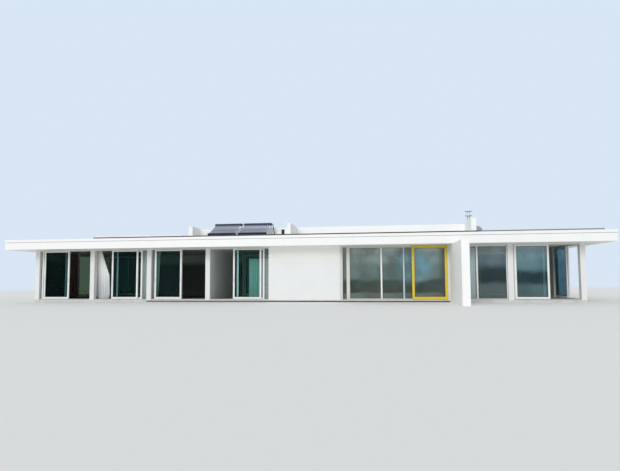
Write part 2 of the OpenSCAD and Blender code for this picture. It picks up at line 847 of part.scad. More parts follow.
// Section of a head: grooved for its leaf, or only behind it
module head_profile() {
    if ($open) translate([open_in, 0]) square([track_d - open_in, head_h]);
    else difference() {
        square([track_d, head_h]);
        translate([leaf_in - run_gap, -cut]) square([frame_t + 2 * run_gap, head_groove + cut]);
    }
}

// Heads of all bays, and the guide over the yellow leaf
module door_heads() {
    guide_h = soffit_gap + guide_in;
    color(BEIGE) place() {
        sliding_bays(head_z) run($bay_l) head_profile();
        fixed_bays(head_z) cube([$bay_l, track_d, head_h]);
        sliding_bays(soffit_z - guide_h) if ($open)
            translate([0, leaf_in + (frame_t - guide_w) / 2, 0]) cube([$bay_l, guide_w, guide_h]);
    }
}

// Section of a sill that starts at x, with its outer edge chamfered
module sill_profile(x = 0) {
    polygon([[x, 0], [track_d, 0], [track_d, sill_h], [x + sill_chamfer, sill_h],
        [x, sill_h - sill_chamfer]]);
}

module door_sills() {
    color(GREY) place() {
        sliding_bays(floor_z) run($bay_l) {
            sill_profile($open ? open_in : 0);
            translate([leaf_in + frame_t / 2, $open ? 0 : sill_h]) {
                translate([-rail_w / 2, 0]) square([rail_w, rail_h - rail_w / 2]);
                translate([0, rail_h - rail_w / 2]) circle(d = rail_w, $fn = 24);
            }
        }
        fixed_bays(floor_z) run($bay_l) sill_profile();
    }
}

// One light cut through a frame: its clear opening, the glass's groove and the beads' set-back
module light_cut(a, b, low, top) {
    translate([a, -cut, low]) cube([b - a, frame_t + 2 * cut, top - low]);
    light_glass(a, b, low, top);
    for (y = [-cut, frame_t - bead_set]) translate([a - bead_w, y, low - bead_w])
        cube([b - a + 2 * bead_w, bead_set + cut, top - low + 2 * bead_w]);
}

module light_glass(a, b, low, top) {
    translate([a - glass_bite, (frame_t - glass_t) / 2, low - glass_bite])
        cube([b - a + 2 * glass_bite, glass_t, top - low + 2 * glass_bite]);
}

// A frame in the XZ plane with its lower left front corner at the origin
module frame(w, h, lights, low = bottom_rail_w, high = top_rail_w) {
    difference() {
        cube([w, frame_t, h]);
        for (s = lights) light_cut(s[0], s[1], low, h - high);
    }
}

module frame_glass(h, lights, low = bottom_rail_w, high = top_rail_w) {
    for (s = lights) light_glass(s[0], s[1], low, h - high);
}

module left_wing_panes() {
    color(FRAME_WHITE) place()
        for (x = pane_x) translate([x, pane_y, sill_z]) frame(pane_w, pane_h, pane_lights);
}

// The centre's jamb posts and its three-light frame
module centre_panes() {
    color(BEIGE) place() {
        box(blank_end_x, track_y, floor_z, left_jamb_w, track_d, room_h);
        box(fin_x - right_jamb_w, track_y, floor_z, right_jamb_w, track_d, room_h);
        translate([centre_frame_x, pane_y, sill_z])
            frame(centre_frame_w, pane_h, centre_lights, thin_rail_w, thin_rail_w);
    }
}

module side_pane_place() {
    translate([side_pane_x, middle_row_y - side_leaf_w, sill_z]) rotate(90) children();
}

module right_wing_panes() {
    color(FRAME_WHITE) place() {
        translate([fin_end_x, pane_y, sill_z])
            frame(fin_bay_l, pane_h, fin_lights, thin_rail_w, thin_rail_w);
        translate([right_bay_x, pane_y, sill_z]) frame(pane_w, pane_h, pane_lights);
        side_pane_place() frame(side_leaf_w, pane_h, side_pane_lights);
    }
}

// Middle plane of the fixed bays, where their frames stand
module fixed_frames() {
    fixed_bays(sill_z) translate([0, (track_d - frame_t) / 2, 0]) children();
}

module rear_panes() {
    color(FRAME_WHITE) place() fixed_frames() frame($bay_l, pane_h, even_lights($bay_l));
}

module front_glass() {
    bare_y = pane_y + (frame_t - glass_t) / 2;
    color(GLASS) place() {
        for (i = [0:3]) {
            translate([pane_x[i], pane_y, sill_z]) frame_glass(pane_h, pane_lights);
            box(light_x[i], bare_y, sill_z, light_w[i], glass_t, pane_h);
        }
        translate([centre_frame_x, pane_y, sill_z])
            frame_glass(pane_h, centre_lights, thin_rail_w, thin_rail_w);
        box(centre_start_x, bare_y, sill_z, centre_light_w, glass_t, pane_h);
        translate([fin_end_x, pane_y, sill_z])
            frame_glass(pane_h, fin_lights, thin_rail_w, thin_rail_w);
        translate([right_bay_x, pane_y, sill_z]) frame_glass(pane_h, pane_lights);
        side_pane_place() frame_glass(pane_h, side_pane_lights);
    }
}

module rear_glass() {
    color(GLASS) place() fixed_frames() frame_glass(pane_h, even_lights($bay_l));
}

// A curtain hung from the ceiling behind the frames, wider at its foot where the wind lifts it
module curtain(x, top_w, foot_w) {
    low = floor_z + curtain_gap;
    translate([x, column_back_y + curtain_back + curtain_t, 0]) rotate([90, 0, 0])
        linear_extrude(curtain_t)
            polygon([[0, low], [foot_w, low], [foot_w, low + wind_shoulder],
                [top_w, soffit_z - hook_gap], [0, soffit_z - hook_gap]]);
}

module curtains() {
    color(CLOTH) place() {
        curtain(bay_start[1] - wind_behind, wind_top_w, wind_foot_w);
        curtain(bay_end[1] - curtain_in - short_curtain_w, short_curtain_w, short_curtain_w);
        curtain(bay_start[2] - third_behind, third_curtain_w, third_curtain_w);
        curtain(bay_end[3] - curtain_in - fourth_curtain_w, fourth_curtain_w, fourth_curtain_w);
        curtain(fin_end_x + curtain_in, right_curtain_w, right_curtain_w);
        box(house_left_x + column_w + curtain_in, middle_row_y - side_curtain_w, floor_z + curtain_gap,
            curtain_t, side_curtain_w, room_h - curtain_gap - hook_gap);
    }
}

// Turned section of a roller, whose groove runs over the rail
module roller_profile() {
    r = roller_d / 2;
    groove_w = rail_w + 2 * flange_gap;
    translate([0, -groove_w / 2 - roller_flange]) square([r - roller_groove, groove_w + 2 * roller_flange]);
    for (y = [-groove_w / 2 - roller_flange, groove_w / 2]) translate([0, y]) square([r, roller_flange]);
}

roller_z = roller_gap - run_gap + roller_d / 2 - roller_groove;
slot_l = roller_d + 2 * slot_gap;
slot_w = rail_w + 2 * flange_gap + 2 * roller_flange + 2 * slot_gap;

// A finger pull's recess with round ends, from a leaf's outer face inwards
module pull_cut() {
    straight = pull_l - pull_w;
    translate([0, -cut, pull_at]) rotate([-90, 0, 0]) linear_extrude(pull_in + cut) {
        square([pull_w, straight], center = true);
        for (y = [-straight / 2, straight / 2]) translate([0, y]) circle(d = pull_w, $fn = 24);
    }
}

// A leaf's frame with finger pulls and a roller in a slot under each end of its bottom rail
module leaf_frame(w, h = leaf_h, stile = stile_w, low = bottom_rail_w, high = top_rail_w) {
    roller_x = [stile + slot_l / 2, w - stile - slot_l / 2];
    difference() {
        frame(w, h, [[stile, w - stile]], low, high);
        for (x = [stile / 2, w - stile / 2]) translate([x, 0, 0]) pull_cut();
        for (x = roller_x)
            translate([x - slot_l / 2, (frame_t - slot_w) / 2, -cut])
                cube([slot_l, slot_w, roller_z + roller_d / 2 + slot_gap + cut]);
    }
    for (x = roller_x) translate([x, frame_t / 2, roller_z]) rotate([90, 0, 0]) {
        rotate_extrude($fn = 48) roller_profile();
        translate([0, 0, -slot_w / 2 - cut]) cylinder(d = axle_d, h = slot_w + 2 * cut, $fn = 24);
    }
}

module white_leaf_frame(x, w) {
    color(FRAME_WHITE) place() translate([x, leaf_y, leaf_z]) leaf_frame(w);
}

module white_leaf_glass(x, w) {
    color(GLASS) place() translate([x, leaf_y, leaf_z]) frame_glass(leaf_h, [[stile_w, w - stile_w]]);
}

module leaf_a_frame() { white_leaf_frame(leaf_x[0], leaf_w); }
module leaf_a_glass() { white_leaf_glass(leaf_x[0], leaf_w); }
module leaf_b_frame() { white_leaf_frame(leaf_x[1], leaf_w); }
module leaf_b_glass() { white_leaf_glass(leaf_x[1], leaf_w); }
module leaf_c_frame() { white_leaf_frame(leaf_x[2], leaf_w); }
module leaf_c_glass() { white_leaf_glass(leaf_x[2], leaf_w); }
module leaf_d_frame() { white_leaf_frame(leaf_x[3], leaf_w); }
module leaf_d_glass() { white_leaf_glass(leaf_x[3], leaf_w); }
module right_leaf_frame() { white_leaf_frame(right_leaf_x, right_leaf_w); }
module right_leaf_glass() { white_leaf_glass(right_leaf_x, right_leaf_w); }

module yellow_leaf_frame() {
    groove_w = guide_w + 2 * run_gap;
    groove_h = guide_in + run_gap;
    color(YELLOW) place() translate([yellow_x, leaf_y, yellow_z]) difference() {
        leaf_frame(yellow_leaf_w, yellow_h, yellow_stile_w, yellow_foot_w, yellow_stile_w);
        translate([-cut, (frame_t - groove_w) / 2, yellow_h - groove_h])
            cube([yellow_leaf_w + 2 * cut, groove_w, groove_h + cut]);
    }
}

module yellow_leaf_glass() {
    s = yellow_stile_w;
    color(GLASS) place() translate([yellow_x, leaf_y, yellow_z])
        frame_glass(yellow_h, [[s, yellow_leaf_w - s]], yellow_foot_w, s);
}

module side_leaf_frame() {
    color(FRAME_WHITE) place() translate([side_leaf_x, side_leaf_y, leaf_z]) rotate(90)
        leaf_frame(side_leaf_w);
}

module side_leaf_glass() {
    color(GLASS) place() translate([side_leaf_x, side_leaf_y, leaf_z]) rotate(90)
        frame_glass(leaf_h, side_pane_lights);
}

floor_slab();
columns();
front_wall();
fin_wall();
rear_wall();
side_walls();
partition_wall();
roof_slab();
front_fascia();
back_fascia();
end_fascias();
cap_flashings();
raised_deck();
deck_kerb();
blade_walls();
chimney_wall();
upper_roof_walls();
upper_roof_slab();
flue_cowl();
vent_pipe();
domed_vent();
solar_manifolds();
solar_tubes();
solar_frames();
door_heads();
door_sills();
left_wing_panes();
centre_panes();
right_wing_panes();
rear_panes();
front_glass();
rear_glass();
curtains();
leaf_a_frame();
leaf_a_glass();
leaf_b_frame();
leaf_b_glass();
leaf_c_frame();
leaf_c_glass();
leaf_d_frame();
leaf_d_glass();
yellow_leaf_frame();
yellow_leaf_glass();
right_leaf_frame();
right_leaf_glass();
side_leaf_frame();
side_leaf_glass();
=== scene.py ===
"""Beach house: finishes for the CAD pieces, glass, cloth, seals, roof metalwork, light and camera."""
import json
import math

import bmesh
import bpy
import numpy as np
from mathutils import Matrix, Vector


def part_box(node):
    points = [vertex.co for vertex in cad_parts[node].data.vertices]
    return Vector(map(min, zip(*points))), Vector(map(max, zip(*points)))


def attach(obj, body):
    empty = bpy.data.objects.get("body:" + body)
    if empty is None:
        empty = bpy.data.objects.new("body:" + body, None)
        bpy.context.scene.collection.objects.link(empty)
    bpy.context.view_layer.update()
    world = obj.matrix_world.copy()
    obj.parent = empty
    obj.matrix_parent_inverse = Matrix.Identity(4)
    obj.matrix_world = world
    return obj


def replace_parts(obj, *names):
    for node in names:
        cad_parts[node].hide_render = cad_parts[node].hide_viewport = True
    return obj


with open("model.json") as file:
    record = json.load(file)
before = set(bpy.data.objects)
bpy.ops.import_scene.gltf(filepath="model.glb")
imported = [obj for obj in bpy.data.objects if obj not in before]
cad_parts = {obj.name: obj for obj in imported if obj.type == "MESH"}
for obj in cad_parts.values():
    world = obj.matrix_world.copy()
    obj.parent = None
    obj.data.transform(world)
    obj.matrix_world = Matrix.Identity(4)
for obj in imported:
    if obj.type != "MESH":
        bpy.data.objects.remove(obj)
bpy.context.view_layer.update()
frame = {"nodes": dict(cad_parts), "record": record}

LEAVES = ["leaf_a", "leaf_b", "leaf_c", "leaf_d", "yellow_leaf", "right_leaf", "side_leaf"]


# Places that the pieces are measured from, in metres
def ends(node):
    """Lowest and highest corner of a CAD node as arrays."""
    low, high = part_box(node)
    return np.array(low), np.array(high)


def solids(node):
    """Boxes of a node's separate solids: corners that share a triangle take the lowest label among
    them until no label changes, and each label's points give one box."""
    mesh = frame["nodes"][node].data
    points = np.empty(len(mesh.vertices) * 3)
    mesh.vertices.foreach_get("co", points)
    points = points.reshape(-1, 3)
    corners = np.empty(len(mesh.polygons) * 3, dtype=np.int64)
    mesh.loops.foreach_get("vertex_index", corners)
    unique, index = np.unique(np.round(points, 5), axis=0, return_inverse=True)
    triangles = index.ravel()[corners].reshape(-1, 3)
    label = np.arange(len(unique))
    while True:
        lowest = label[triangles].min(axis=1)
        fresh = label.copy()
        for corner in range(3):
            np.minimum.at(fresh, triangles[:, corner], lowest)
        if np.array_equal(fresh, label):
            break
        label = fresh
    boxes = [(unique[label == k].min(axis=0), unique[label == k].max(axis=0)) for k in np.unique(label)]
    return np.array(sorted(boxes, key=lambda b: tuple(np.round(b[0], 3))))


slab_low, slab_high = ends("floor_slab")
roof_low, roof_high = ends("roof_slab")
deck_low, deck_high = ends("raised_deck")
blank_low, blank_high = ends("front_wall")
rear_low = ends("rear_wall")[0]
fin_low, fin_high = ends("fin_wall")
partition_low, partition_high = ends("partition_wall")
curtain_low = ends("curtains")[0]
chimney_low, chimney_high = ends("chimney_wall")
floor_z, soffit_z = slab_high[2], roof_low[2]
between = (partition_low[0] + partition_high[0]) / 2

# The rooms' boxes reach 1 mm into the side walls and 4 mm into the floor, ceiling and rear wall
WALL_IN, ROOM_REACH = 0.199, 0.004
rooms_low = np.array([slab_low[0] + WALL_IN, blank_high[1] - 0.001, floor_z - ROOM_REACH])
rooms_high = np.array([slab_high[0] - WALL_IN, rear_low[1] + ROOM_REACH, soffit_z + ROOM_REACH])
LEFT_ROOMS = (tuple(rooms_low), (between, rooms_high[1], rooms_high[2]))
MAIN_ROOMS = ((between, rooms_low[1], rooms_low[2]), tuple(rooms_high))


# Finishes
class Finish:
    """A material of one Principled shader whose patterns read Object coordinates."""

    def __init__(self, name, colour, roughness, **sockets):
        self.name = name
        self.material = bpy.data.materials.new(name)
        self.material.use_nodes = True
        self.tree = self.material.node_tree
        self.shader = self.tree.nodes["Principled BSDF"]
        self.place = self.tree.nodes.new("ShaderNodeTexCoord").outputs["Object"]
        self.parts = self.node("SeparateXYZ", {0: self.place}).outputs
        self.tint = colour
        self.shader.inputs["Base Color"].default_value = (*colour, 1.0)
        self.shader.inputs["Roughness"].default_value = roughness
        for socket, value in sockets.items():
            self.shader.inputs[socket.replace("_", " ")].default_value = value

    def node(self, kind, inputs=(), **settings):
        """A node with its settings, and its inputs given as numbers, colours or other outputs."""
        node = self.tree.nodes.new("ShaderNode" + kind)
        for name, value in settings.items():
            setattr(node, name, value)
        for key, value in dict(inputs).items():
            if isinstance(value, bpy.types.NodeSocket):
                self.tree.links.new(value, node.inputs[key])
            else:
                node.inputs[key].default_value = value
        return node

    def calc(self, operation, a, b=0.0, c=0.0):
        """One Math node."""
        return self.node("Math", {0: a, 1: b, 2: c}, operation=operation).outputs[0]

    def noise(self, scale, detail=3.0, stretch=(1, 1, 1)):
        """Soft noise from 0 to 1 on stretched Object coordinates."""
        sizes = [scale * s for s in stretch]
        at = self.node("Mapping", {"Vector": self.place, "Scale": sizes}).outputs[0]
        return self.node("TexNoise", {"Vector": at, "Scale": 1.0, "Detail": detail}).outputs["Fac"]

    def span(self, value, low, high, start=0.0, end=1.0):
        """value between low and high, eased, as start to end."""
        inputs = {0: value, 1: low, 2: high, 3: start, 4: end}
        return self.node("MapRange", inputs, interpolation_type="SMOOTHSTEP").outputs[0]

    def blend(self, share, a, b):
        """Colour a with the share of colour b."""
        a, b = ((*c, 1.0) if isinstance(c, tuple) else c for c in (a, b))
        return self.node("Mix", {0: share, 6: a, 7: b}, data_type="RGBA").outputs[2]

    def within(self, low, high):
        """1 inside the box from low to high: the largest of |p - centre| - half lies below 0."""
        low, high = np.array(low), np.array(high)
        centre, half = tuple((low + high) / 2), tuple((high - low) / 2)
        away = self.node("VectorMath", {0: self.place, 1: centre}, operation="SUBTRACT")
        size = self.node("VectorMath", {0: away.outputs[0]}, operation="ABSOLUTE")
        over = self.node("VectorMath", {0: size.outputs[0], 1: half}, operation="SUBTRACT")
        parts = self.node("SeparateXYZ", {0: over.outputs[0]}).outputs
        most = self.calc("MAXIMUM", self.calc("MAXIMUM", parts[0], parts[1]), parts[2])
        return self.calc("LESS_THAN", most, 0.0)

    def joint(self, axis, pitch, width):
        """1 on thin lines across an axis, one every pitch."""
        return self.calc("LESS_THAN", self.calc("PINGPONG", self.parts[axis], pitch / 2), width / 2)

    def colour(self, socket):
        """The colour comes from a socket."""
        self.tree.links.new(socket, self.shader.inputs["Base Color"])

    def rough(self, socket):
        """The roughness comes from a socket."""
        self.tree.links.new(socket, self.shader.inputs["Roughness"])

    def bump(self, height, depth, strength=1.0):
        """Height of 0 to 1 as a relief of that depth in metres."""
        inputs = {"Height": height, "Distance": depth, "Strength": strength}
        self.tree.links.new(self.node("Bump", inputs).outputs[0], self.shader.inputs["Normal"])


def shade(colour, share):
    """The same colour with only a share of its light."""
    return tuple(c * share for c in colour)


def mottled(finish, scale, deep, share, stretch=(1, 1, 1)):
    """The finish's own colour, faintly drawn towards a deeper one by large soft noise."""
    cloud = finish.noise(scale, 4.0, stretch)
    return finish.blend(finish.span(cloud, 0.35, 0.75, 0.0, share), finish.tint, deep)


# Heights of the lighter band in the left rooms' painted shade, and of the painted light under the soffit
ABOVE_HEADS, UNDER_SOFFIT = (1.8, 2.2), (1.7, 2.3)
UPPER_SHARE = 5.2


def plaster(name, colour, left_room_shade, main_rooms, soffit_painted_light=None):
    """Painted plaster: fine trowel relief and faint runs down the wall; where given, a lighter colour
    under the soffit, painted light against the eave's shade; and the rooms' paint, which in the left
    rooms is painted shade, lighter above head height."""
    f = Finish(name, colour, 0.62)
    coat = mottled(f, 0.9, shade(colour, 0.93), 0.55)
    runs = f.noise(5.0, 3.0, (1, 1, 0.12))
    coat = f.blend(f.span(runs, 0.55, 0.8, 0.0, 0.1), coat, shade(colour, 0.8))
    # Painted light under the soffit: the wall's top is lighter, against the eave's shade.
    if soffit_painted_light:
        coat = f.blend(f.span(f.parts[2], *UNDER_SOFFIT), coat, soffit_painted_light)
    # Painted shade: the left rooms' paint is dark, less dark above head height.
    if left_room_shade:
        upper = f.blend(f.span(f.parts[2], *ABOVE_HEADS), left_room_shade, shade(left_room_shade, UPPER_SHARE))
        coat = f.blend(f.within(*LEFT_ROOMS), coat, upper)
        coat = f.blend(f.within(*MAIN_ROOMS), coat, main_rooms)
    f.colour(coat)
    coarse, fine = f.noise(38.0, 4.0), f.noise(190.0, 2.0)
    f.bump(f.calc("MULTIPLY_ADD", coarse, 0.7, f.calc("MULTIPLY", fine, 0.3)), 0.0012, 0.7)
    f.rough(f.span(f.noise(12.0), 0.3, 0.7, 0.55, 0.72))
    return f


def painted_board(name, colour):
    """Coated metal and board: faint panel waves, a thin joint every 3 m, rain marks down the face."""
    f = Finish(name, colour, 0.42, Coat_Weight=0.15, Coat_Roughness=0.3)
    coat = mottled(f, 1.3, shade(colour, 0.95), 0.5)
    runs = f.noise(7.0, 3.0, (1, 1, 0.15))
    coat = f.blend(f.span(runs, 0.55, 0.85, 0.0, 0.08), coat, shade(colour, 0.78))
    joint = f.joint(0, 3.0, 0.004)
    f.colour(f.blend(f.calc("MULTIPLY", joint, 0.4), coat, shade(colour, 0.55)))
    f.bump(f.calc("SUBTRACT", f.noise(3.0, 2.0, (0.4, 0.4, 1)), joint), 0.0015, 0.5)
    f.rough(f.span(f.noise(9.0), 0.3, 0.7, 0.36, 0.5))
    return f


def metal(name, colour, roughness, metallic, scale=60.0):
    """Coated or bare metal with fine streaks along X and a little wear in its gloss."""
    f = Finish(name, colour, roughness, Metallic=metallic)
    f.colour(mottled(f, 6.0, shade(colour, 0.86), 0.6))
    streak = f.noise(scale, 3.0, (0.08, 1, 1))
    f.rough(f.span(streak, 0.3, 0.7, roughness * 0.8, min(1.0, roughness * 1.25)))
    f.bump(streak, 0.0003, 0.5)
    return f


def rails_and_cups(cup_low, cup_high):
    """Collector frames: pale anodised rails and legs, and dark blue cups at the tubes' lower ends."""
    f = metal("collector_rails", (0.8, 0.82, 0.84), 0.35, 0.3)
    pale = mottled(f, 6.0, shade(f.tint, 0.86), 0.6)
    f.colour(f.blend(f.within(cup_low, cup_high), pale, (0.02, 0.03, 0.055)))
    return f


def frame_paint(name, colour, places=()):
    """Powder coat on the frames: orange-peel relief, darker in patches low down near the sill, and
    another paint inside each of the places (low, high, colour)."""
    f = Finish(name, colour, 0.36, Coat_Weight=0.25, Coat_Roughness=0.25)
    coat = mottled(f, 2.2, shade(colour, 0.94), 0.5)
    for low, high, paint in places:
        coat = f.blend(f.within(low, high), coat, paint)
    low_darkening = f.calc("MULTIPLY", f.span(f.parts[2], floor_z, floor_z + 0.35, 0.35, 0.0), f.noise(24.0))
    f.colour(f.blend(low_darkening, coat, shade(colour, 0.7)))
    f.bump(f.noise(420.0, 1.0), 0.00025, 0.5)
    f.rough(f.span(f.noise(16.0), 0.3, 0.7, 0.3, 0.44))
    return f


def glazing(name, tint, share, veil, glint, steps=(), reflection_mottle=0.3, patch=None, dim=None):
    """Tinted glass: a clear tint that lets the rooms show, mixed with a share of shining veil whose
    colour is painted reflection. Above each (height, reach, colour) step the veil takes that colour,
    along a softly waving line. A patch (centre, one over its reach, colour) lies where |(p - centre) /
    reach| is below about 1, and to the right of dim's (start, end) along X the veil darkens to dim's
    colour."""
    f = Finish(name, veil, 0.04, IOR=glint)
    wave = f.calc("MULTIPLY_ADD", f.noise(1.1, 3.0), 0.3, f.parts[2])
    coat = veil
    for height, reach, colour in steps:
        coat = f.blend(f.span(wave, height, height + reach), coat, colour)
    if patch:
        centre, per_reach, colour = patch
        away = f.node("VectorMath", {0: f.place, 1: centre}, operation="SUBTRACT").outputs[0]
        away = f.node("VectorMath", {0: away, 1: per_reach}, operation="MULTIPLY").outputs[0]
        far = f.node("VectorMath", {0: away}, operation="LENGTH").outputs["Value"]
        ragged = f.calc("MULTIPLY_ADD", f.noise(2.6, 3.0), 0.6, far)
        coat = f.blend(f.span(ragged, 0.75, 1.5, 0.9, 0.0), coat, colour)
    if dim:
        start, end, colour = dim
        coat = f.blend(f.span(f.parts[0], start, end, 0.0, 0.85), coat, colour)
    # Painted reflection: soft clouds darken the veil.
    cloud = f.noise(1.4, 4.0, (1, 1, 0.8))
    f.colour(f.blend(f.span(cloud, 0.38, 0.62, 0.0, reflection_mottle), coat, shade(veil, 0.4)))
    f.rough(f.span(f.noise(5.0, 3.0), 0.45, 0.75, 0.03, 0.09))
    clear = f.node("BsdfTransparent", {"Color": (*tint, 1.0)})
    mixed = f.node("MixShader", {0: share, 1: clear.outputs[0], 2: f.shader.outputs[0]})
    f.tree.links.new(mixed.outputs[0], f.tree.nodes["Material Output"].inputs["Surface"])
    return f


def soffit_and_roof():
    """Roof slab: warm white boards below with thin joints every 1.2 m, the rooms' ceilings, the left
    rooms' darker as painted shade, and a pale dusty membrane on top."""
    f = Finish("soffit_and_roof", (0.94, 0.93, 0.87), 0.6)
    coat = mottled(f, 0.7, (0.88, 0.87, 0.81), 0.5)
    joint = f.joint(0, 1.2, 0.008)
    coat = f.blend(f.calc("MULTIPLY", joint, 0.35), coat, (0.5, 0.49, 0.46))
    # Painted shade: the left rooms' ceiling is darker than the main rooms'.
    coat = f.blend(f.within(*LEFT_ROOMS), coat, (0.55, 0.56, 0.55))
    coat = f.blend(f.within(*MAIN_ROOMS), coat, (0.8, 0.8, 0.78))
    top = f.calc("GREATER_THAN", f.parts[2], roof_high[2] - 0.01)
    dust = f.blend(f.span(f.noise(1.6, 5.0), 0.35, 0.7), (0.5, 0.5, 0.48), (0.4, 0.4, 0.385))
    f.colour(f.blend(top, coat, dust))
    f.bump(f.calc("SUBTRACT", f.noise(60.0, 3.0), joint), 0.0015, 0.6)
    return f


def slab_concrete():
    """Floor slab: float marks and pores, dark boards in the left rooms and pale tiles in the main
    ones."""
    f = Finish("concrete", (0.6, 0.6, 0.58), 0.75)
    coat = mottled(f, 3.0, (0.5, 0.5, 0.48), 0.8)
    grain = f.span(f.noise(3.0, 3.0, (1, 14, 1)), 0.3, 0.7)
    boards = f.blend(grain, (0.11, 0.085, 0.062), (0.075, 0.058, 0.045))
    boards = f.blend(f.joint(1, 0.14, 0.004), boards, (0.02, 0.017, 0.014))
    tiles = f.blend(f.span(f.noise(2.2, 4.0), 0.3, 0.7), (0.46, 0.46, 0.44), (0.38, 0.38, 0.37))
    grout = f.calc("MAXIMUM", f.joint(0, 0.6, 0.005), f.joint(1, 0.6, 0.005))
    tiles = f.blend(grout, tiles, (0.2, 0.2, 0.19))
    coat = f.blend(f.within(*LEFT_ROOMS), coat, boards)
    f.colour(f.blend(f.within(*MAIN_ROOMS), coat, tiles))
    pores = f.node("TexVoronoi", {"Vector": f.place, "Scale": 55.0}).outputs["Distance"]
    f.bump(f.calc("ADD", f.span(pores, 0.05, 0.3), f.noise(25.0)), 0.0015, 0.6)
    return f


def deck_membrane():
    """Raised deck: dark membrane on its edge, paler and bluer past the chimney wall, and a light
    dusty one on top with a welded lap every metre."""
    f = Finish("dark_membrane", (0.02, 0.021, 0.024), 0.7)
    past = f.span(f.parts[0], chimney_high[0], chimney_high[0] + 0.05)
    edge = f.blend(past, mottled(f, 1.1, (0.035, 0.036, 0.04), 0.8), (0.09, 0.11, 0.13))
    dust = f.blend(f.span(f.noise(1.3, 5.0), 0.3, 0.7), (0.6, 0.6, 0.58), (0.5, 0.5, 0.485))
    lap = f.joint(0, 1.0, 0.012)
    dust = f.blend(f.calc("MULTIPLY", lap, 0.5), dust, (0.3, 0.3, 0.3))
    f.colour(f.blend(f.calc("GREATER_THAN", f.parts[2], deck_high[2] - 0.003), edge, dust))
    f.bump(f.calc("SUBTRACT", f.noise(150.0, 2.0), lap), 0.002, 0.6)
    return f


def edge_metal():
    """Deck's trim: dark coated metal, greyer past the chimney wall, with a joint every 2 m."""
    f = Finish("edge_metal", (0.015, 0.016, 0.018), 0.5)
    past = f.span(f.parts[0], chimney_high[0], chimney_high[0] + 0.05)
    coat = f.blend(past, mottled(f, 3.0, (0.03, 0.03, 0.033), 0.6), (0.2, 0.22, 0.25))
    joint = f.joint(0, 2.0, 0.004)
    f.colour(f.blend(f.calc("MULTIPLY", joint, 0.6), coat, (0.2, 0.2, 0.2)))
    f.bump(joint, 0.001, 0.5)
    return f


def tube_glass(first, pitch):
    """Collector tubes: a deep blue absorber under clear glass, with a painted highlight: a paler streak
    along each tube a little beside its crown. first is the first tube's own X, pitch the distance to the
    next."""
    f = Finish("solar_glass", (0.17, 0.2, 0.29), 0.12, Coat_Weight=0.8, Coat_Roughness=0.05)
    stripe = f.noise(9.0, 2.0, (1, 0.1, 0.1))
    coat = f.blend(f.span(stripe, 0.3, 0.7), f.tint, (0.13, 0.16, 0.24))
    # Painted highlight beside each tube's crown.
    near = f.calc("PINGPONG", f.calc("SUBTRACT", f.parts[0], first + 0.01), pitch / 2)
    f.colour(f.blend(f.span(near, 0.002, 0.012, 0.6, 0.0), coat, (0.36, 0.4, 0.47)))
    f.rough(f.span(f.noise(30.0), 0.3, 0.7, 0.08, 0.2))
    return f


THREADS = 5236.0  # one turn of a sine every 1.2 mm


def cloth(name, colour, deep, hem):
    """Curtain cloth: plain weave, sine of warp times sine of weft every 1.2 mm, and slubs that follow
    the cloth's own map, with painted shade that greys it towards the hem by that share."""
    f = Finish(name, colour, 0.85, Sheen_Weight=0.25, Sheen_Roughness=0.5)
    at = f.node("UVMap", uv_map="cloth").outputs[0]
    parts = f.node("SeparateXYZ", {0: at}).outputs
    warp, weft = (f.calc("SINE", f.calc("MULTIPLY", parts[i], THREADS)) for i in (0, 1))
    along = f.node("Mapping", {"Vector": at, "Scale": (220, 6, 1)}).outputs[0]
    slub = f.node("TexNoise", {"Vector": along}).outputs["Fac"]
    woven = f.blend(f.span(slub, 0.35, 0.7), f.tint, deep)
    # Painted shade: greyer and cooler towards the hem.
    hem_shade_colour = tuple(c * share for c, share in zip(colour, (0.55, 0.6, 0.64)))
    f.colour(f.blend(f.span(parts[1], 0.3, 1.8, hem, 0.0), woven, hem_shade_colour))
    f.bump(f.calc("MULTIPLY", warp, weft), 0.0003, 0.5)
    return f


def matt_coat(name, colour, roughness, grain, depth):
    """Rubber, and the grey mastic and dark base coat that paint shadow lines under the cap and at the
    slab's foot: matt, with a fine grain of that scale and depth.
    """
    f = Finish(name, colour, roughness)
    f.colour(mottled(f, 8.0, shade(colour, 0.7), 0.7))
    f.bump(f.noise(grain, 2.0), depth, 0.5)
    return f


# The first colour is painted shade for the left rooms' walls; the second is the main rooms' own paint
LEFT_ROOM_SHADE, LIGHT_ROOM = (0.095, 0.1, 0.095), (0.82, 0.84, 0.83)
white_render = plaster("white_render", (0.9, 0.9, 0.885), LEFT_ROOM_SHADE, LIGHT_ROOM)
# Lit and shaded copies of the white plaster: the columns and the front wall are darker as painted shade,
# the fin and the roof's walls lighter as painted light
column_shade_paint = plaster("column_shade_paint", (0.78, 0.79, 0.775), None, None)
roof_light_paint = plaster("roof_light_paint", (0.95, 0.96, 0.965), None, None)
front_shade_and_light_paint = plaster("front_shade_and_light_paint", (0.8, 0.81, 0.815), LEFT_ROOM_SHADE, LIGHT_ROOM, (0.95, 0.96, 0.92))
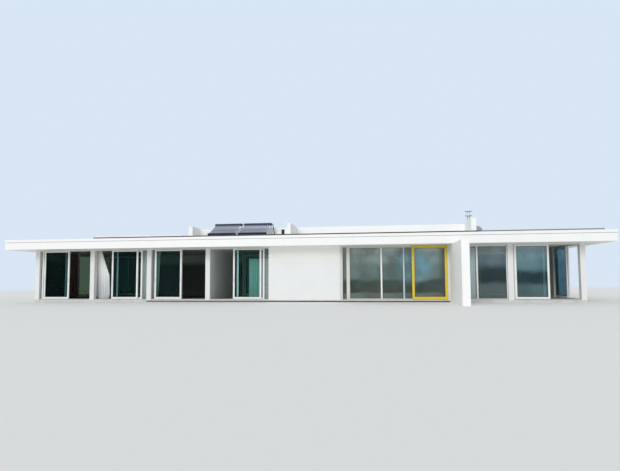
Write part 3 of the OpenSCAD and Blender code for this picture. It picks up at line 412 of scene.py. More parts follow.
# The partition's left-room side is painted shade too
partition_paint = plaster("partition_paint", (0.85, 0.86, 0.84), (0.16, 0.165, 0.16), (0.88, 0.89, 0.87))
fin_light_paint = plaster("fin_light_paint", (0.93, 0.93, 0.925), None, None)
white_board = painted_board("white_board", (0.9, 0.9, 0.895))
white_frame = frame_paint("white_frame", (0.83, 0.845, 0.84))
yellow_frame = frame_paint("yellow_frame", (0.72, 0.54, 0.025))
sill_metal = metal("sill_metal", (0.6, 0.6, 0.59), 0.38, 0.5)
galvanised = metal("galvanised", (0.6, 0.62, 0.63), 0.42, 0.7, 30.0)
dark_pipe = metal("dark_pipe", (0.012, 0.012, 0.013), 0.55, 0.0)
grey_dome = metal("grey_dome", (0.31, 0.36, 0.4), 0.4, 0.0)
dark_manifold = metal("dark_manifold", (0.022, 0.035, 0.055), 0.5, 0.0)
curtain_rail = metal("curtain_rail", (0.7, 0.7, 0.69), 0.4, 0.3)
pull_steel = metal("pull_steel", (0.55, 0.55, 0.54), 0.3, 0.9)
soffit_finish = soffit_and_roof()
concrete = slab_concrete()
dark_membrane = deck_membrane()
rubber = matt_coat("seal_rubber", (0.02, 0.021, 0.022), 0.6, 300.0, 0.0002)
# Painted shadow: the cap seal's grey under the cap's lip
cap_shadow_mastic = matt_coat("cap_shadow_mastic", (0.45, 0.46, 0.46), 0.7, 200.0, 0.0003)
# Painted shadow: the base strip's dark coat at the slab's foot
base_shadow_coat = matt_coat("base_shadow_coat", (0.03, 0.032, 0.032), 0.8, 90.0, 0.001)
white_cloth = cloth("curtain_cloth", (0.87, 0.87, 0.85), (0.8, 0.8, 0.78), 0.2)
wind_cloth = cloth("wind_cloth", (0.92, 0.92, 0.9), (0.86, 0.86, 0.84), 0.85)
brown_cloth = cloth("brown_cloth", (0.19, 0.12, 0.09), (0.12, 0.08, 0.06), 0.3)

# Each glass's veil colour, with its steps by height and its patch, is painted reflection; the pale veils
# of the side lights and the fin's strip also paint light onto the curtains behind them
leaf_glass = glazing("tinted_glass", (0.84, 0.97, 0.96), 0.1, (0.01, 0.03, 0.03), 1.3)
first_leaf_glass = glazing("first_leaf_glass", (0.5, 0.64, 0.62), 0.1, (0.01, 0.03, 0.03), 1.3)
second_leaf_glass = glazing("second_leaf_glass", (0.64, 0.76, 0.77), 0.1, (0.01, 0.03, 0.03), 1.3)
pane_glass = glazing("pane_glass", (0.86, 0.95, 0.94), 0.1, (0.01, 0.02, 0.02), 1.25)
side_light_glass = glazing("side_light_glass", (0.95, 0.98, 0.98), 0.25, (0.36, 0.41, 0.42), 1.4)
# Painted reflection on the centre's glass by height: a dark band, then ever paler ones, and a blue patch
# in it
CENTRE_REFLECTION = [(0.5, 0.12, (0.02, 0.045, 0.012)), (1.02, 0.2, (0.24, 0.33, 0.31)),
                (1.7, 0.4, (0.48, 0.6, 0.56)), (2.25, 0.2, (0.8, 0.88, 0.85))]
BLUE_REFLECTION = ((5.6, 0.0, 1.6), (1.15, 0.0, 1.2), (0.27, 0.58, 0.72))
centre_glass = glazing("centre_glass", (0.56, 0.7, 0.67), 0.42, (0.25, 0.31, 0.26), 2.0,
                       CENTRE_REFLECTION, 0.6, BLUE_REFLECTION)
yellow_leaf_glass = glazing("yellow_leaf_glass", (0.56, 0.7, 0.7), 0.42, (0.25, 0.31, 0.26), 2.0,
                            CENTRE_REFLECTION, 0.45, BLUE_REFLECTION, (6.55, 7.0, (0.05, 0.06, 0.06)))
fin_glass = glazing("fin_glass", (0.93, 0.97, 0.98), 0.15, (0.55, 0.72, 0.76), 1.5)
right_glass = glazing("right_glass", (0.72, 0.83, 0.86), 0.35, (0.19, 0.25, 0.25), 1.6,
                      [(0.85, 0.25, (0.01, 0.03, 0.03)), (1.45, 0.5, (0.3, 0.4, 0.46)),
                       (2.0, 0.4, (0.6, 0.7, 0.7))])
right_leaf_glass = glazing("right_leaf_glass", (0.66, 0.78, 0.8), 0.35, (0.17, 0.28, 0.3), 1.6,
                           [(0.8, 0.25, (0.01, 0.05, 0.05)), (1.3, 0.35, (0.26, 0.44, 0.5)),
                            (1.8, 0.5, (0.48, 0.68, 0.74)), (2.35, 0.2, (0.7, 0.84, 0.86))])
side_leaf_glass = glazing("side_leaf_glass", (0.7, 0.84, 0.88), 0.3, (0.04, 0.06, 0.02), 1.5,
                          [(1.1, 0.3, (0.16, 0.22, 0.21)), (1.8, 0.5, (0.6, 0.9, 0.95))])
left_window_glass = glazing("left_window_glass", (0.44, 0.54, 0.42), 0.4, (0.03, 0.06, 0.04), 1.5)
rear_window_glass = glazing("rear_window_glass", (0.16, 0.24, 0.19), 0.35, (0.03, 0.06, 0.04), 1.5,
                            [(1.0, 0.6, (0.1, 0.15, 0.15)), (1.8, 0.5, (0.22, 0.3, 0.32))], 0.4)

# The centre frame is beige, with a white first mullion and a cooler second one. Glass sits 12 mm deep
# in its frame, and a side light is under 0.3 m wide
BITE, NARROW = 0.012, 0.3
pane_low, pane_high = ends("centre_panes")
front_lights = solids("front_glass")
light_size = front_lights[:, 1] - front_lights[:, 0]
in_centre = (front_lights[:, 0, 0] > blank_high[0]) & (front_lights[:, 1, 0] < fin_low[0] + 0.01)
centre_lights = front_lights[in_centre & (light_size[:, 0] > NARROW)]
gaps = [(centre_lights[i, 1, 0] - BITE, centre_lights[i + 1, 0, 0] + BITE) for i in (0, 1)]
clear_low, clear_high = centre_lights[0, 0, 2] + BITE, centre_lights[0, 1, 2] - BITE
posts = [((a + 0.001, pane_low[1], clear_low), (b - 0.001, pane_high[1] + 0.01, clear_high))
         for a, b in gaps]
beige_frame = frame_paint("beige_frame", (0.67, 0.66, 0.61),
                          [(*posts[0], (0.85, 0.87, 0.84)), (*posts[1], (0.45, 0.57, 0.61))])

# The collectors' cups are their frames' first 85 mm, above the foot plates
CUP_LENGTH, CUP_FOOT = 0.085, 0.03
frames_low, frames_high = ends("solar_frames")
cup_low = (frames_low[0], frames_low[1] - 0.001, deck_high[2] + CUP_FOOT)
collector_rails = rails_and_cups(cup_low, (frames_high[0], frames_low[1] + CUP_LENGTH, frames_high[2]))

# Tubes: the first one's X, and the pitch to the next
tube_boxes = solids("solar_tubes")
tube_x = (tube_boxes[:, 0, 0] + tube_boxes[:, 1, 0]) / 2
solar_glass = tube_glass(tube_x[0], tube_x[1] - tube_x[0])

# Each CAD node takes the finish named like its slot, unless it has one of its own
by_slot = {finish.name: finish for finish in (
    white_render, white_board, concrete, dark_membrane, galvanised, dark_pipe, grey_dome, dark_manifold,
    solar_glass, collector_rails, beige_frame, sill_metal, white_frame, yellow_frame, leaf_glass,
    white_cloth)}
by_node = {
    "roof_slab": soffit_finish, "partition_wall": partition_paint, "columns": column_shade_paint,
    "front_wall": front_shade_and_light_paint, "fin_wall": fin_light_paint, "leaf_a_glass": first_leaf_glass,
    "leaf_b_glass": second_leaf_glass, "yellow_leaf_glass": yellow_leaf_glass,
    "right_leaf_glass": right_leaf_glass, "side_leaf_glass": side_leaf_glass,
    "rear_glass": rear_window_glass,
    **dict.fromkeys(("upper_roof_walls", "upper_roof_slab", "blade_walls", "chimney_wall"), roof_light_paint),
}
for part in frame["record"]["subparts"]:
    node = frame["nodes"][part["node"]]
    finish = by_node.get(part["node"], by_slot[part["material_slot"]])
    if node.material_slots:
        node.material_slots[0].material = finish.material
    else:
        node.data.materials.append(finish.material)


# Mesh helpers
def piece(name, points, faces, finish, body="house", smooth=False, closed=True):
    """A mesh object from arrays of points and faces, at the origin, riding on a body."""
    mesh = bpy.data.meshes.new(name)
    mesh.from_pydata(np.asarray(points).reshape(-1, 3).tolist(), [], [list(map(int, f)) for f in faces])
    if closed:
        tidy = bmesh.new()
        tidy.from_mesh(mesh)
        bmesh.ops.remove_doubles(tidy, verts=tidy.verts, dist=1e-6)
        bmesh.ops.recalc_face_normals(tidy, faces=tidy.faces)
        tidy.to_mesh(mesh)
        tidy.free()
    mesh.polygons.foreach_set("use_smooth", [smooth] * len(mesh.polygons))
    mesh.materials.append(finish.material)
    obj = bpy.data.objects.new(name, mesh)
    bpy.context.scene.collection.objects.link(obj)
    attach(obj, body)
    return obj


def grid_faces(rows, columns, round_rows=False, round_columns=False):
    """Quads of a grid of rows by columns points, closed round where asked."""
    r = np.arange(rows if round_rows else rows - 1)[:, None]
    c = np.arange(columns if round_columns else columns - 1)[None, :]
    a = r * columns + c
    b = r * columns + (c + 1) % columns
    d = (r + 1) % rows * columns + c
    e = (r + 1) % rows * columns + (c + 1) % columns
    return np.stack([a, b, e, d], axis=-1).reshape(-1, 4)


def many(template, faces, count):
    """The faces of count copies of a template with that many points."""
    return [[i + k * template for i in face] for k in range(count) for face in faces]


def block_template():
    """A unit block with its edges cut off: each corner has one point on each of its three sides."""
    signs = np.array([[x, y, z] for x in (-1, 1) for y in (-1, 1) for z in (-1, 1)])

    def at(s, axis):
        """Number of a corner's point on the side that an axis faces."""
        return ((s[0] > 0) * 4 + (s[1] > 0) * 2 + (s[2] > 0)) * 3 + axis

    faces = [[at(s, 0), at(s, 1), at(s, 2)] for s in signs]
    for axis in range(3):
        u, v = (axis + 1) % 3, (axis + 2) % 3
        for side in (-1, 1):
            ring = []
            for p, q in ((-1, -1), (1, -1), (1, 1), (-1, 1)):
                s = np.zeros(3)
                s[axis], s[u], s[v] = side, p, q
                ring.append(at(s, axis))
            faces.append(ring)
        for p in (-1, 1):
            for q in (-1, 1):
                low, high = np.zeros(3), np.zeros(3)
                low[u], low[v], low[axis] = p, q, -1
                high[u], high[v], high[axis] = p, q, 1
                faces.append([at(low, u), at(high, u), at(high, v), at(low, v)])
    return signs, faces


BLOCK_SIGNS, BLOCK_FACES = block_template()


def blocks(name, boxes, edge, finish, body="house"):
    """Blocks with edges cut off by edge: a point is centre + sign * (half - edge), and on its own
    side's axis centre + sign * half."""
    boxes = np.asarray(boxes, dtype=float)
    centre, half = (boxes[:, 0] + boxes[:, 1]) / 2, (boxes[:, 1] - boxes[:, 0]) / 2
    reach = np.repeat((half - edge)[:, None, None, :], 3, axis=2) + edge * np.eye(3)[None, None]
    points = centre[:, None, None] + BLOCK_SIGNS[None, :, None, :] * reach
    return piece(name, points, many(24, BLOCK_FACES, len(boxes)), finish, body)


def ringed(name, outlines, out, profile, place, finish, body="house"):
    """A closed profile carried round closed outlines: point = outline + out * profile's first
    number, and place turns (along, up, profile's second number) into the room's axes."""
    outlines, out, profile = (np.asarray(a, float) for a in (outlines, out, profile))
    count, around = outlines.shape[:2]
    flat = outlines[:, :, None, :] + out[None, :, None, :] * profile[None, None, :, :1]
    deep = np.broadcast_to(profile[None, None, :, 1:], flat.shape[:3] + (1,))
    points = place(np.concatenate([flat, deep], axis=-1))
    faces = grid_faces(around, len(profile), True, True)
    return piece(name, points, many(around * len(profile), faces, count), finish, body)


def turned(name, profile, centres, axis, sides, finish, body="house", smooth=False):
    """A closed profile of (radius, height) turned about an axis through each centre: point = centre
    + axis * height + radius * (cosine * first side + sine * second side)."""
    profile, centres = np.asarray(profile, float), np.atleast_2d(centres)
    axis = np.asarray(axis, float) / np.linalg.norm(axis)
    first = np.cross(axis, (0.31, 0.52, 0.79))
    first /= np.linalg.norm(first)
    second = np.cross(axis, first)
    angle = np.arange(sides) * 2 * np.pi / sides
    ring = np.cos(angle)[:, None] * first + np.sin(angle)[:, None] * second
    shell = profile[:, None, :1] * ring[None] + profile[:, None, 1:] * axis
    points = centres[:, None, None, :] + shell[None]
    faces = many(len(profile) * sides, grid_faces(len(profile), sides, True, True), len(centres))
    return piece(name, points, faces, finish, body, smooth)


def band(radius, width, thick):
    """Profile of a strap round a pipe: a flat ring with softened outer edges."""
    half, soft, inner, outer = width / 2, thick / 3, radius - thick / 2, radius + thick
    return [(inner, -half), (outer - soft, -half), (outer, soft - half), (outer, half - soft),
            (outer - soft, half), (inner, half)]


def bolt(radius, height):
    """Profile of a domed bolt head on a washer."""
    return [(0.0, -0.002), (radius * 1.6, -0.002), (radius * 1.6, 0.0012), (radius, 0.0015),
            (radius, height * 0.6), (radius * 0.7, height), (0.0, height)]


def tube(name, paths, radius, sides, finish, body="house"):
    """A round section carried along each path, square to its direction, with ends closed: point =
    path + radius * (cosine * side + sine * up)."""
    paths = np.asarray(paths, float)
    along = np.gradient(paths, axis=1)
    along /= np.linalg.norm(along, axis=-1, keepdims=True)
    side = np.cross(along, np.array([0.31, 0.94, 0.12]))
    side /= np.linalg.norm(side, axis=-1, keepdims=True)
    up = np.cross(side, along)
    angle = np.arange(sides) * 2 * np.pi / sides
    ring = side[:, :, None] * np.cos(angle)[:, None] + up[:, :, None] * np.sin(angle)[:, None]
    shell = paths[:, :, None] + radius * ring
    shut = np.concatenate([np.repeat(paths[:, :1, None], sides, 2), shell,
                           np.repeat(paths[:, -1:, None], sides, 2)], axis=1)
    count, rows = shut.shape[:2]
    faces = grid_faces(rows, sides, False, True)
    return piece(name, shut, many(rows * sides, faces, count), finish, body, True)


# Glass of the front, pane by pane, with its edges eased

PANE_EDGE = 0.0015


def panes(name, chosen, finish):
    """Sheets of glass in the places of the CAD ones."""
    obj = blocks(name, front_lights[chosen], PANE_EDGE, finish)
    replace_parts(obj, "front_glass")


in_left = front_lights[:, 1, 0] < blank_low[0] + 0.01
past_fin = front_lights[:, 0, 0] > fin_low[0]
wide = light_size[:, 0] > NARROW
in_side = light_size[:, 1] > NARROW
fin_strip = past_fin & ~in_side & (front_lights[:, 0, 0] < fin_high[0] + 0.15)
panes("left_panes_glass", in_left & wide, pane_glass)
panes("left_side_lights", in_left & ~wide, side_light_glass)
panes("centre_glass", in_centre, centre_glass)
panes("fin_bay_glass", fin_strip, fin_glass)
panes("right_panes_glass", past_fin & ~in_side & ~fin_strip, right_glass)
panes("side_pane_glass", in_side, side_leaf_glass)

# Seals round the glass

RECTANGLE = np.array([[-1, -1], [1, -1], [1, 1], [-1, 1]], float)


def rectangles(low, high):
    """Corner points of rectangles from (low, high) pairs."""
    middle, half = (low + high) / 2, (high - low) / 2
    return middle[:, None] + RECTANGLE[None] * half[:, None]


def seals(name, boxes, normal, body):
    """Rubber seals on both faces of framed glass: a rounded wedge carried round the clear light,
    which lies 12 mm inside the glass's edge. normal is the axis that the glass faces."""
    along = 1 - normal
    low = boxes[:, 0][:, [along, 2]] + BITE
    high = boxes[:, 1][:, [along, 2]] - BITE
    wedge = [(0.004, 0.0), (-0.009, 0.0), (-0.006, 0.006), (-0.001, 0.009), (0.004, 0.009)]
    planes = boxes[:, :, normal].mean(axis=0)
    for side, plane in ((-1, planes[0]), (1, planes[1])):
        def place(p):
            """Along, up and out from this face of the glass."""
            parts = [None, None, p[..., 1]]
            parts[along] = p[..., 0]
            parts[normal] = plane + side * p[..., 2]
            return np.stack(parts, axis=-1)
        tag = "outer" if (side < 0) == (normal == 1) else "inner"
        ringed(f"{name}_seal_{tag}", rectangles(low, high), RECTANGLE, wedge, place, rubber, body)


for leaf in LEAVES:
    seals(leaf, solids(leaf + "_glass"), 0 if leaf == "side_leaf" else 1, leaf)
seals("front", front_lights[wide], 1, "house")
seals("side_pane", front_lights[in_side], 0, "house")
rear_lights = solids("rear_glass")
turn = (rear_lights[:, 1] - rear_lights[:, 0])[:, 0] > NARROW
seals("rear", rear_lights[turn], 1, "house")
for name, chosen, finish in (("rear_panes_glass", turn, rear_window_glass),
                             ("left_window_glass", ~turn, left_window_glass)):
    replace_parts(blocks(name, rear_lights[chosen], PANE_EDGE, finish), "rear_glass")
seals("left_window", rear_lights[~turn], 0, "house")

# Rims of the finger pulls: a flat ring round each oval recess, 1.5 mm proud of the stile

half_turn = np.linspace(0, np.pi, 9)
OVAL = np.concatenate([np.stack([np.cos(half_turn), np.sin(half_turn)], -1),
                       np.stack([np.cos(half_turn + np.pi), np.sin(half_turn + np.pi)], -1)])
OVAL_SHIFT = np.repeat([[0.0, 1.0], [0.0, -1.0]], 9, axis=0)
PULL_RADIUS, PULL_STRAIGHT, ROLLER_DROP, PULL_HEIGHT = 0.013, 0.077, 0.0067, 0.9
WHITE_STILE, YELLOW_STILE = 0.085, 0.11
for leaf in LEAVES:
    low, high = ends(leaf + "_frame")
    stile = YELLOW_STILE if leaf == "yellow_leaf" else WHITE_STILE
    axis = 1 if leaf == "side_leaf" else 0
    up = low[2] + ROLLER_DROP + PULL_HEIGHT
    middles = np.array([[low[axis] + stile / 2, up], [high[axis] - stile / 2, up]])
    outline = middles[:, None] + (PULL_RADIUS * OVAL + PULL_STRAIGHT * OVAL_SHIFT)[None]
    face, proud = (high[0], 1) if axis else (low[1], -1)

    def onto_leaf(p):
        """Along, up and out from the leaf's outer face."""
        parts = [face + proud * p[..., 2], face + proud * p[..., 2], p[..., 1]]
        parts[axis] = p[..., 0]
        return np.stack(parts, axis=-1)

    rim = [(0.0, -0.001), (0.005, -0.001), (0.005, 0.001), (0.004, 0.0015), (0.0, 0.0015)]
    ringed(leaf + "_pull_rims", outline, OVAL, rim, onto_leaf, pull_steel, leaf)

# Curtains

HUNG_Y = curtain_low[1] + 0.04
HEM_GAP, CLOTH_THICK, MOST_OUT = 0.014, 0.0016, 0.034
PLEAT_STEPS, ROWS_DOWN = 14, 61


def hung_cloth(name, box, left, right, top, cloth_w, pleats, depth, finish, axis=0):
    """A hung curtain on a grid of u across and v down. Its edges run through the (height, place)
    knots of left and right, W(v) apart. A pleat is a sine across u whose height keeps the cloth's
    own width cloth_w at every level: height = W / pleats / (2 pi) * sqrt(2 ((cloth_w / W)^2 - 1)),
    up to depth. A second sine of twice the pitch and a slow drift of the folds make them uneven."""
    foot = floor_z + HEM_GAP
    u = np.linspace(0, 1, pleats * PLEAT_STEPS + 1)[None, :]
    v = np.linspace(0, 1, ROWS_DOWN)[:, None]
    z = top + (foot - top) * v
    start = np.interp(z, *np.array(sorted(left)).T)
    wide = np.interp(z, *np.array(sorted(right)).T) - start
    ratio = np.maximum((cloth_w / wide) ** 2 - 1, 0.02)
    height = np.minimum(wide / pleats / (2 * np.pi) * np.sqrt(2 * ratio), depth)
    wander = 0.9 * np.sin(2.1 * u * np.pi + 1.3) * v + 0.25 * np.sin(5.3 * v + 4.0 * u)
    fold = np.sin(2 * np.pi * pleats * u + wander)
    second = 0.25 * np.sin(4 * np.pi * pleats * u + 2 * wander + 0.7) * v
    across = start + wide * (u + 0.012 * np.sin(3.0 * v * np.pi + 9.0 * u) * v * u * (1 - u) * 4)
    out = height * (fold + second) * (0.75 + 0.25 * v)
    middle = (box[0][1 - axis] + box[1][1 - axis]) / 2
    points = np.empty(np.broadcast(u, v).shape + (3,))
    points[..., axis] = across
    points[..., 1 - axis] = middle + np.clip(out, -MOST_OUT, MOST_OUT)
    points[..., 2] = z + 0.004 * np.sin(2 * np.pi * pleats * u + 1.0) * (v > 0.99)
    rows, columns = points.shape[:2]
    faces = grid_faces(rows, columns)
    obj = piece(name, points, faces, finish, smooth=True, closed=False)
    drop = top - foot
    maps = np.stack(np.broadcast_arrays(u * cloth_w, (1 - v) * drop), axis=-1).reshape(-1, 2)
    layer = obj.data.uv_layers.new(name="cloth")
    corner = np.empty(len(obj.data.loops), dtype=np.int64)
    obj.data.loops.foreach_get("vertex_index", corner)
    layer.data.foreach_set("uv", maps[corner].ravel())
    thick = obj.modifiers.new("thickness", "SOLIDIFY")
    thick.thickness = CLOTH_THICK
    thick.offset = 0.0
    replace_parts(obj, "curtains")
    return points[0, PLEAT_STEPS // 2::PLEAT_STEPS]


def straight(low, high, axis=0, inset=0.01):
    """Edges of a curtain that hangs straight in its CAD box."""
    return [[(0.0, x), (3.0, x)] for x in (low[axis] + inset, high[axis] - inset)]


hung = solids("curtains")
is_front = (hung[:, 1, 0] - hung[:, 0, 0]) > 0.1
wind, short, third, fourth, right = hung[is_front]
side_hung = hung[~is_front][0]
RAIL_TOP = soffit_z - 0.022
x0, x1, third_x = wind[0][0] + 0.01, wind[1][0], third[1][0]
hooks = [
    hung_cloth("wind_curtain", wind,
               [(3.0, x0), (0.55, x0), (0.42, x0 + 0.02), (0.3, x0 + 0.075), (0.2, x0 + 0.155),
                (0.11, x0 + 0.27)],
               [(3.0, x0 + 0.32), (RAIL_TOP, x0 + 0.32), (1.262, x1 - 0.04), (0.5, x1 - 0.005),
                (0.25, x1 - 0.012), (0.11, x1 - 0.04)],
               RAIL_TOP, 0.92, 7, 0.03, wind_cloth),
    hung_cloth("short_curtain", short, *straight(*short), RAIL_TOP, 0.56, 5, 0.03, white_cloth),
    hung_cloth("third_curtain", third, straight(*third)[0],
               [(3.0, third_x - 0.005), (RAIL_TOP, third_x - 0.005), (0.0, third_x - 0.125)],
               RAIL_TOP, 0.52, 5, 0.028, white_cloth),
    hung_cloth("right_curtain", right, *straight(*right), RAIL_TOP, 1.2, 9, 0.03, white_cloth),
]
ROD_Z = 2.005
low_hooks = hung_cloth("fourth_curtain", fourth, *straight(*fourth), ROD_Z - 0.022, 1.4, 10, 0.03,
                       white_cloth)
side_hooks = hung_cloth("brown_curtain", side_hung, *straight(*side_hung, axis=1), RAIL_TOP, 1.0, 7,
                        0.03, brown_cloth, axis=1)

# Rails just under the ceiling, each a slim channel, with a glider over every fold. The right and side
# rails run on past their drawn curtains
RAIL_HALF, RAIL_DROP, UNDER = 0.014, 0.018, 0.0004
RIGHT_RUN, SIDE_RUN = 1.2, 2.7
rail_low, rail_high = soffit_z - RAIL_DROP, soffit_z - UNDER
rail_near, rail_far = HUNG_Y - RAIL_HALF, HUNG_Y + RAIL_HALF
side_x = (side_hung[0][0] + side_hung[1][0]) / 2
rail_boxes = [
    ((wind[0][0], rail_near, rail_low), (partition_low[0] - 0.02, rail_far, rail_high)),
    ((fin_high[0] + 0.02, rail_near, rail_low), (right[1][0] + RIGHT_RUN, rail_far, rail_high)),
    ((side_x - RAIL_HALF, side_hung[0][1], rail_low),
     (side_x + RAIL_HALF, side_hung[1][1] + SIDE_RUN, rail_high)),
]
blocks("curtain_rails", rail_boxes, 0.002, curtain_rail)
glide = np.concatenate([*hooks, side_hooks])
glide[: -len(side_hooks), 1] = HUNG_Y
glide[-len(side_hooks):, 0] = side_x
glider_boxes = np.stack([glide - [0.004, 0.004, 0.003], glide + [0.004, 0.004, 0.006]], axis=1)
blocks("curtain_gliders", glider_boxes, 0.0015, curtain_rail)

# The fourth curtain hangs lower, from a rod on two droppers, with a ring over every fold
ROD_RADIUS, DROPPER_RADIUS, RING_RADIUS, RING_WIRE = 0.010, 0.006, 0.0175, 0.0018
rod_a, rod_b = fourth[0][0] + 0.005, fourth[1][0] - 0.005
dropper_x = (rod_a + 0.03, rod_b - 0.03)
steps = np.linspace(0, 1, 5)[:, None]
rod = np.array([rod_a, HUNG_Y, ROD_Z]) + steps * np.array([rod_b - rod_a, 0, 0])
tube("low_curtain_rod", [rod], ROD_RADIUS, 16, curtain_rail)
droppers = [np.array([x, HUNG_Y, ROD_Z]) + steps * np.array([0, 0, soffit_z - ROD_Z - UNDER])
            for x in dropper_x]
tube("low_curtain_droppers", droppers, DROPPER_RADIUS, 12, curtain_rail)
plate = [(0.0, -0.006), (0.022, -0.006), (0.024, -0.004), (0.024, -UNDER), (0.0, -UNDER)]
turned("low_curtain_plates", plate, [(x, HUNG_Y, soffit_z) for x in dropper_x], (0, 0, 1), 24,
       curtain_rail)
ring_centres = low_hooks * [1, 0, 0] + [0, HUNG_Y, ROD_Z - 0.006]
loop = np.linspace(0, 2 * np.pi, 9)[:-1]
ring = np.stack([RING_RADIUS + RING_WIRE * np.cos(loop), RING_WIRE * np.sin(loop)], -1)
turned("low_curtain_rings", ring, ring_centres, (1, 0.05, 0), 20, curtain_rail)

# Cap seal: a bead of mastic under the cap's lip, on the face of the fascia boards all round; its grey is
# painted shadow of the lip
cap_low = ends("cap_flashings")[0]
board_low, board_high = ends("front_fascia")[0], ends("back_fascia")[1]


def from_level(z, turn):
    """Turns (along, across, height) into the room's axes: up from a level, or down with turn -1."""
    return lambda p: np.stack([p[..., 0], p[..., 1], z + turn * p[..., 2]], axis=-1)


bead = [(-0.002, -0.001), (0.0055, -0.001), (0.0055, 0.013), (0.003, 0.02), (-0.002, 0.022)]
ringed("cap_shadow_seal", rectangles(board_low[None, :2], board_high[None, :2]), RECTANGLE, bead,
       from_level(cap_low[2], -1), cap_shadow_mastic)

# Base strip: bitumen coat along the foot of the slab's front, from the third column to the fin wall,
# in five lengths 4 mm apart; its dark is painted shadow of the gap at the slab's foot
STRIP_FOOT, STRIP_TOP, STRIP_PROUD = 0.012, 0.06, 0.004
columns = solids("columns")
columns = columns[np.abs(columns[:, 0, 1] - slab_low[1]) < 0.01]
joints = np.linspace(columns[2, 0, 0], fin_low[0] - 0.004, 6)
strips = [((a + 0.002, slab_low[1] - STRIP_PROUD, STRIP_FOOT),
           (b - 0.002, slab_low[1] + 0.002, STRIP_TOP))
          for a, b in zip(joints[:-1], joints[1:])]
blocks("base_shadow_strip", strips, 0.0012, base_shadow_coat)

# Drain hoods on the outer edge of the front sills, one 0.35 m from each end of a bay
HOOD_HALF, HOOD_IN = 0.018, 0.35
sill_face = ends("door_sills")[0][1]
bays = list(zip(columns[:, 1, 0], [*columns[1:4, 0, 0], blank_low[0], columns[5, 0, 0]]))
hoods = [((x - HOOD_HALF, sill_face - 0.003, floor_z + 0.003),
          (x + HOOD_HALF, sill_face + 0.002, floor_z + 0.013))
         for a, b in bays for x in (a + HOOD_IN, b - HOOD_IN)]
blocks("drain_hoods", hoods, 0.001, white_frame)

# Deck trim: a dark folded edge over the deck's rim, 50 mm down its sides
folded = [(-0.03, -0.001), (-0.03, 0.003), (0.001, 0.004), (0.003, 0.002), (0.003, -0.05),
          (-0.001, -0.05), (-0.001, -0.001)]
ringed("deck_trim", rectangles(deck_low[None, :2], deck_high[None, :2]), RECTANGLE, folded,
       from_level(deck_high[2], 1), edge_metal())


# Upstands: white flashings round the feet of the walls on the deck
def skirt(low, high, thick=0.003, tall=0.1):
    """Four strips round the foot of a wall's box."""
    x0, y0, x1, y1, z = low[0], low[1], high[0], high[1], deck_high[2]
    return [((x0 - thick, y0 - thick, z), (x1 + thick, y0 + 0.001, z + tall)),
            ((x0 - thick, y1 - 0.001, z), (x1 + thick, y1 + thick, z + tall)),
            ((x0 - thick, y0, z), (x0 + 0.001, y1, z + tall)),
            ((x1 - 0.001, y0, z), (x1 + thick, y1, z + tall))]


on_roof = (*solids("blade_walls"), (chimney_low, chimney_high), ends("upper_roof_slab"))
blocks("wall_upstands", sum((skirt(*box) for box in on_roof), []), 0.001, white_board)

# Collectors: clips round the tubes at the cross bar, straps at the manifolds' pipe, bolts on the feet
TILT = math.radians(26)
COLLECTOR_W, COLLECTOR_GAP, COLLECTOR_L = 1.385, 0.11, 1.32
FOOT_OUT, ROOF_OVERHANG, SETBACK, LIFT = 0.03, 0.8, 1.3, 0.04
TUBE_RISE, CLIP_AT = 0.09, 0.615
PIPE_IN, PIPE_OUT, PIPE_RUN, PIPE_END = 0.06, 0.06, 0.1, 0.09
RAIL_IN, BOLT_OFF, FRONT_BOLTS, LEG_IN = 0.015, 0.031, 0.049, 0.05
first_x = frames_low[0] + FOOT_OUT
front_y = slab_low[1] - ROOF_OVERHANG + SETBACK


def on_collector(x, y, z):
    """A point at x along a collector, y up its slope and z out of its face."""
    return (x, front_y + y * math.cos(TILT) - z * math.sin(TILT),
            deck_high[2] + LIFT + y * math.sin(TILT) + z * math.cos(TILT))


slope = (0, math.cos(TILT), math.sin(TILT))
turned("tube_clips", band(0.029, 0.018, 0.0015), [on_collector(x, CLIP_AT, TUBE_RISE) for x in tube_x],
       slope, 20, collector_rails)
union_x, union_y = first_x + COLLECTOR_W, COLLECTOR_L - PIPE_IN
unions = [on_collector(union_x + d, union_y, TUBE_RISE) for d in (0.02, COLLECTOR_GAP - 0.02)]
turned("union_straps", band(0.021, 0.016, 0.003), unions, (1, 0, 0), 24, collector_rails)
pipe_top = np.array(on_collector(first_x + 2 * COLLECTOR_W + COLLECTOR_GAP, union_y, TUBE_RISE))
pipe_bend = pipe_top + [PIPE_OUT, 0, 0]
pipe_foot = np.array([pipe_bend[0] + PIPE_RUN, pipe_bend[1], deck_high[2] + PIPE_END])
strapped = [pipe_bend + (pipe_foot - pipe_bend) * t for t in (0.12, 0.5, 0.88)]
turned("pipe_straps", band(0.02, 0.016, 0.0025), strapped, pipe_foot - pipe_bend, 24, galvanised)
leg_y = COLLECTOR_L * math.cos(TILT) - LEG_IN
feet = [(first_x + i * (COLLECTOR_W + COLLECTOR_GAP) + x + d, front_y + y, deck_high[2] + 0.008)
        for i in (0, 1) for x in (RAIL_IN, COLLECTOR_W - RAIL_IN) for d in (-BOLT_OFF, BOLT_OFF)
        for y in (FRONT_BOLTS, leg_y + 0.015)]
turned("foot_bolts", bolt(0.006, 0.007), feet, (0, 0, 1), 12, galvanised)

# Flue: two straps under the cowl; vent pipe: a strap and two bent prongs; dome: bolted flange and strap
cowl_low, cowl_high = ends("flue_cowl")
flue = np.array([(chimney_low[0] + chimney_high[0]) / 2, (cowl_low[1] + cowl_high[1]) / 2,
                 chimney_high[2]])
turned("flue_straps", band(0.075, 0.022, 0.002), [flue + [0, 0, z] for z in (0.06, 0.17)], (0, 0, 1),
       40, galvanised, smooth=True)


def foot_of(node):
    """Middle of a node's plan, at its lowest height."""
    low, high = ends(node)
    return np.array([*(low[:2] + high[:2]) / 2, low[2]])


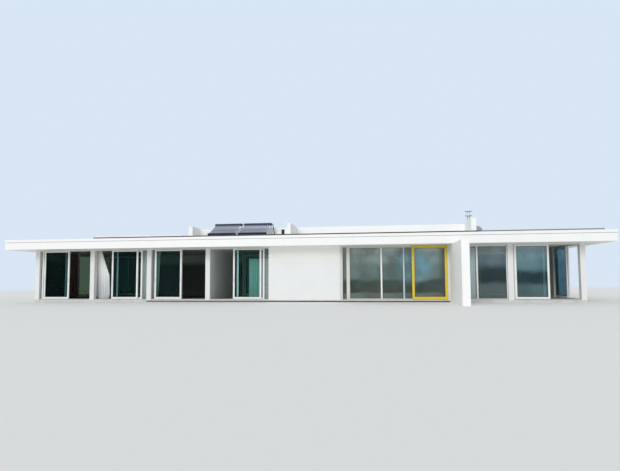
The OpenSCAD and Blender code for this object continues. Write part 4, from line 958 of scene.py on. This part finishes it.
vent, dome = foot_of("vent_pipe"), foot_of("domed_vent")
turned("vent_strap", band(0.07, 0.025, 0.002), [vent + [0, 0, 0.2]], (0, 0, 1), 40, dark_pipe,
       smooth=True)
rise = np.linspace(0, 1, 9)
prongs = [vent + np.stack([side * (0.072 + 0.055 * rise ** 1.5), 0 * rise, 0.19 + 0.155 * rise], -1)
          for side in (-1, 1)]
tube("vent_prongs", prongs, 0.006, 8, galvanised)
BOLT_CIRCLE = 0.289
turn_by = np.arange(12) * np.pi / 6
round_dome = [dome + [BOLT_CIRCLE * math.cos(t), BOLT_CIRCLE * math.sin(t), 0.008] for t in turn_by]
turned("dome_bolts", bolt(0.006, 0.006), round_dome, (0, 0, 1), 12, galvanised)
turned("dome_strap", band(0.2855, 0.012, 0.0012), [dome + [0, 0, 0.115]], (0, 0, 1), 64, galvanised,
       smooth=True)

# Camera at the photograph's place, with the slight upward shift of its framing. The picture's width,
# the distance that goes with it and the shift are in its pixels
SENSOR, PICTURE_WIDTH, FOCAL, SHIFT_UP = 36.0, 620.0, 455.2, 14.63
STOOD_AT, YAW, PITCH, ROLL = (3.7757, -22.447, 1.0269), 0.13332, 0.064, -0.00509
camera_data = bpy.data.cameras.new("camera")
camera_data.sensor_width = SENSOR
camera_data.lens = SENSOR * FOCAL / PICTURE_WIDTH
camera_data.shift_y = SHIFT_UP / PICTURE_WIDTH
camera_data.clip_end = 500.0
camera = bpy.data.objects.new("camera", camera_data)
bpy.context.scene.collection.objects.link(camera)
camera.matrix_world = (
    Matrix.Translation(STOOD_AT) @ Matrix.Rotation(YAW, 4, "Z")
    @ Matrix.Rotation(math.pi / 2 + PITCH, 4, "X") @ Matrix.Rotation(ROLL, 4, "Z")
)
bpy.context.scene.camera = camera

# Floor: a wide pale plane that fades into the backdrop's colour for the camera, glass and gloss
BACKDROP = (0.69, 0.79, 0.91)


def straight_rays(tree):
    """1 for rays of the camera, of gloss and of glass, 0 for the ones that carry light."""
    rays = tree.nodes.new("ShaderNodeLightPath").outputs
    total = rays["Is Camera Ray"]
    for kind in ("Is Glossy Ray", "Is Transmission Ray"):
        either = tree.nodes.new("ShaderNodeMath")
        either.operation = "MAXIMUM"
        tree.links.new(total, either.inputs[0])
        tree.links.new(rays[kind], either.inputs[1])
        total = either.outputs[0]
    return total


FLOOR_REACH, HAZE_FROM, HAZE_TO = 400.0, 22.0, 60.0
floor = bpy.data.meshes.new("floor")
floor.from_pydata([(x * FLOOR_REACH, y * FLOOR_REACH, 0) for x, y in RECTANGLE], [], [(0, 1, 2, 3)])
floor_object = bpy.data.objects.new("floor", floor)
bpy.context.scene.collection.objects.link(floor_object)
pale = Finish("floor_finish", (0.82, 0.82, 0.8), 0.9)
floor.materials.append(pale.material)
far = pale.node("VectorMath", {0: pale.place}, operation="LENGTH").outputs["Value"]
haze = pale.calc("MULTIPLY", pale.span(far, HAZE_FROM, HAZE_TO), straight_rays(pale.tree))
glow = pale.node("Emission", {"Color": (*BACKDROP, 1.0), "Strength": 1.0})
fade = pale.node("MixShader", {0: haze, 1: pale.shader.outputs[0], 2: glow.outputs[0]})
pale.tree.links.new(fade.outputs[0], pale.tree.nodes["Material Output"].inputs["Surface"])

# World and lamp
world = bpy.data.worlds.new("world")
bpy.context.scene.world = world
world.use_nodes = True
world_tree = world.node_tree
soft = world_tree.nodes["Background"]
soft.inputs["Color"].default_value = (0.925, 0.965, 1.0, 1.0)
soft.inputs["Strength"].default_value = 0.67
shown = world_tree.nodes.new("ShaderNodeBackground")
shown.inputs["Color"].default_value = (*BACKDROP, 1.0)
shown.inputs["Strength"].default_value = 1.0
choose = world_tree.nodes.new("ShaderNodeMixShader")
world_tree.links.new(straight_rays(world_tree), choose.inputs[0])
world_tree.links.new(soft.outputs[0], choose.inputs[1])
world_tree.links.new(shown.outputs[0], choose.inputs[2])
world_tree.links.new(choose.outputs[0], world_tree.nodes["World Output"].inputs["Surface"])

lamp_data = bpy.data.lights.new("soft_light", "SUN")
lamp_data.energy = 1.4
lamp_data.color = (1.0, 0.985, 0.96)
lamp_data.angle = math.radians(34)
lamp = bpy.data.objects.new("soft_light", lamp_data)
bpy.context.scene.collection.objects.link(lamp)
lamp.rotation_euler = (math.radians(62), 0.0, math.radians(-18))

bpy.context.scene.view_settings.view_transform = "Standard"
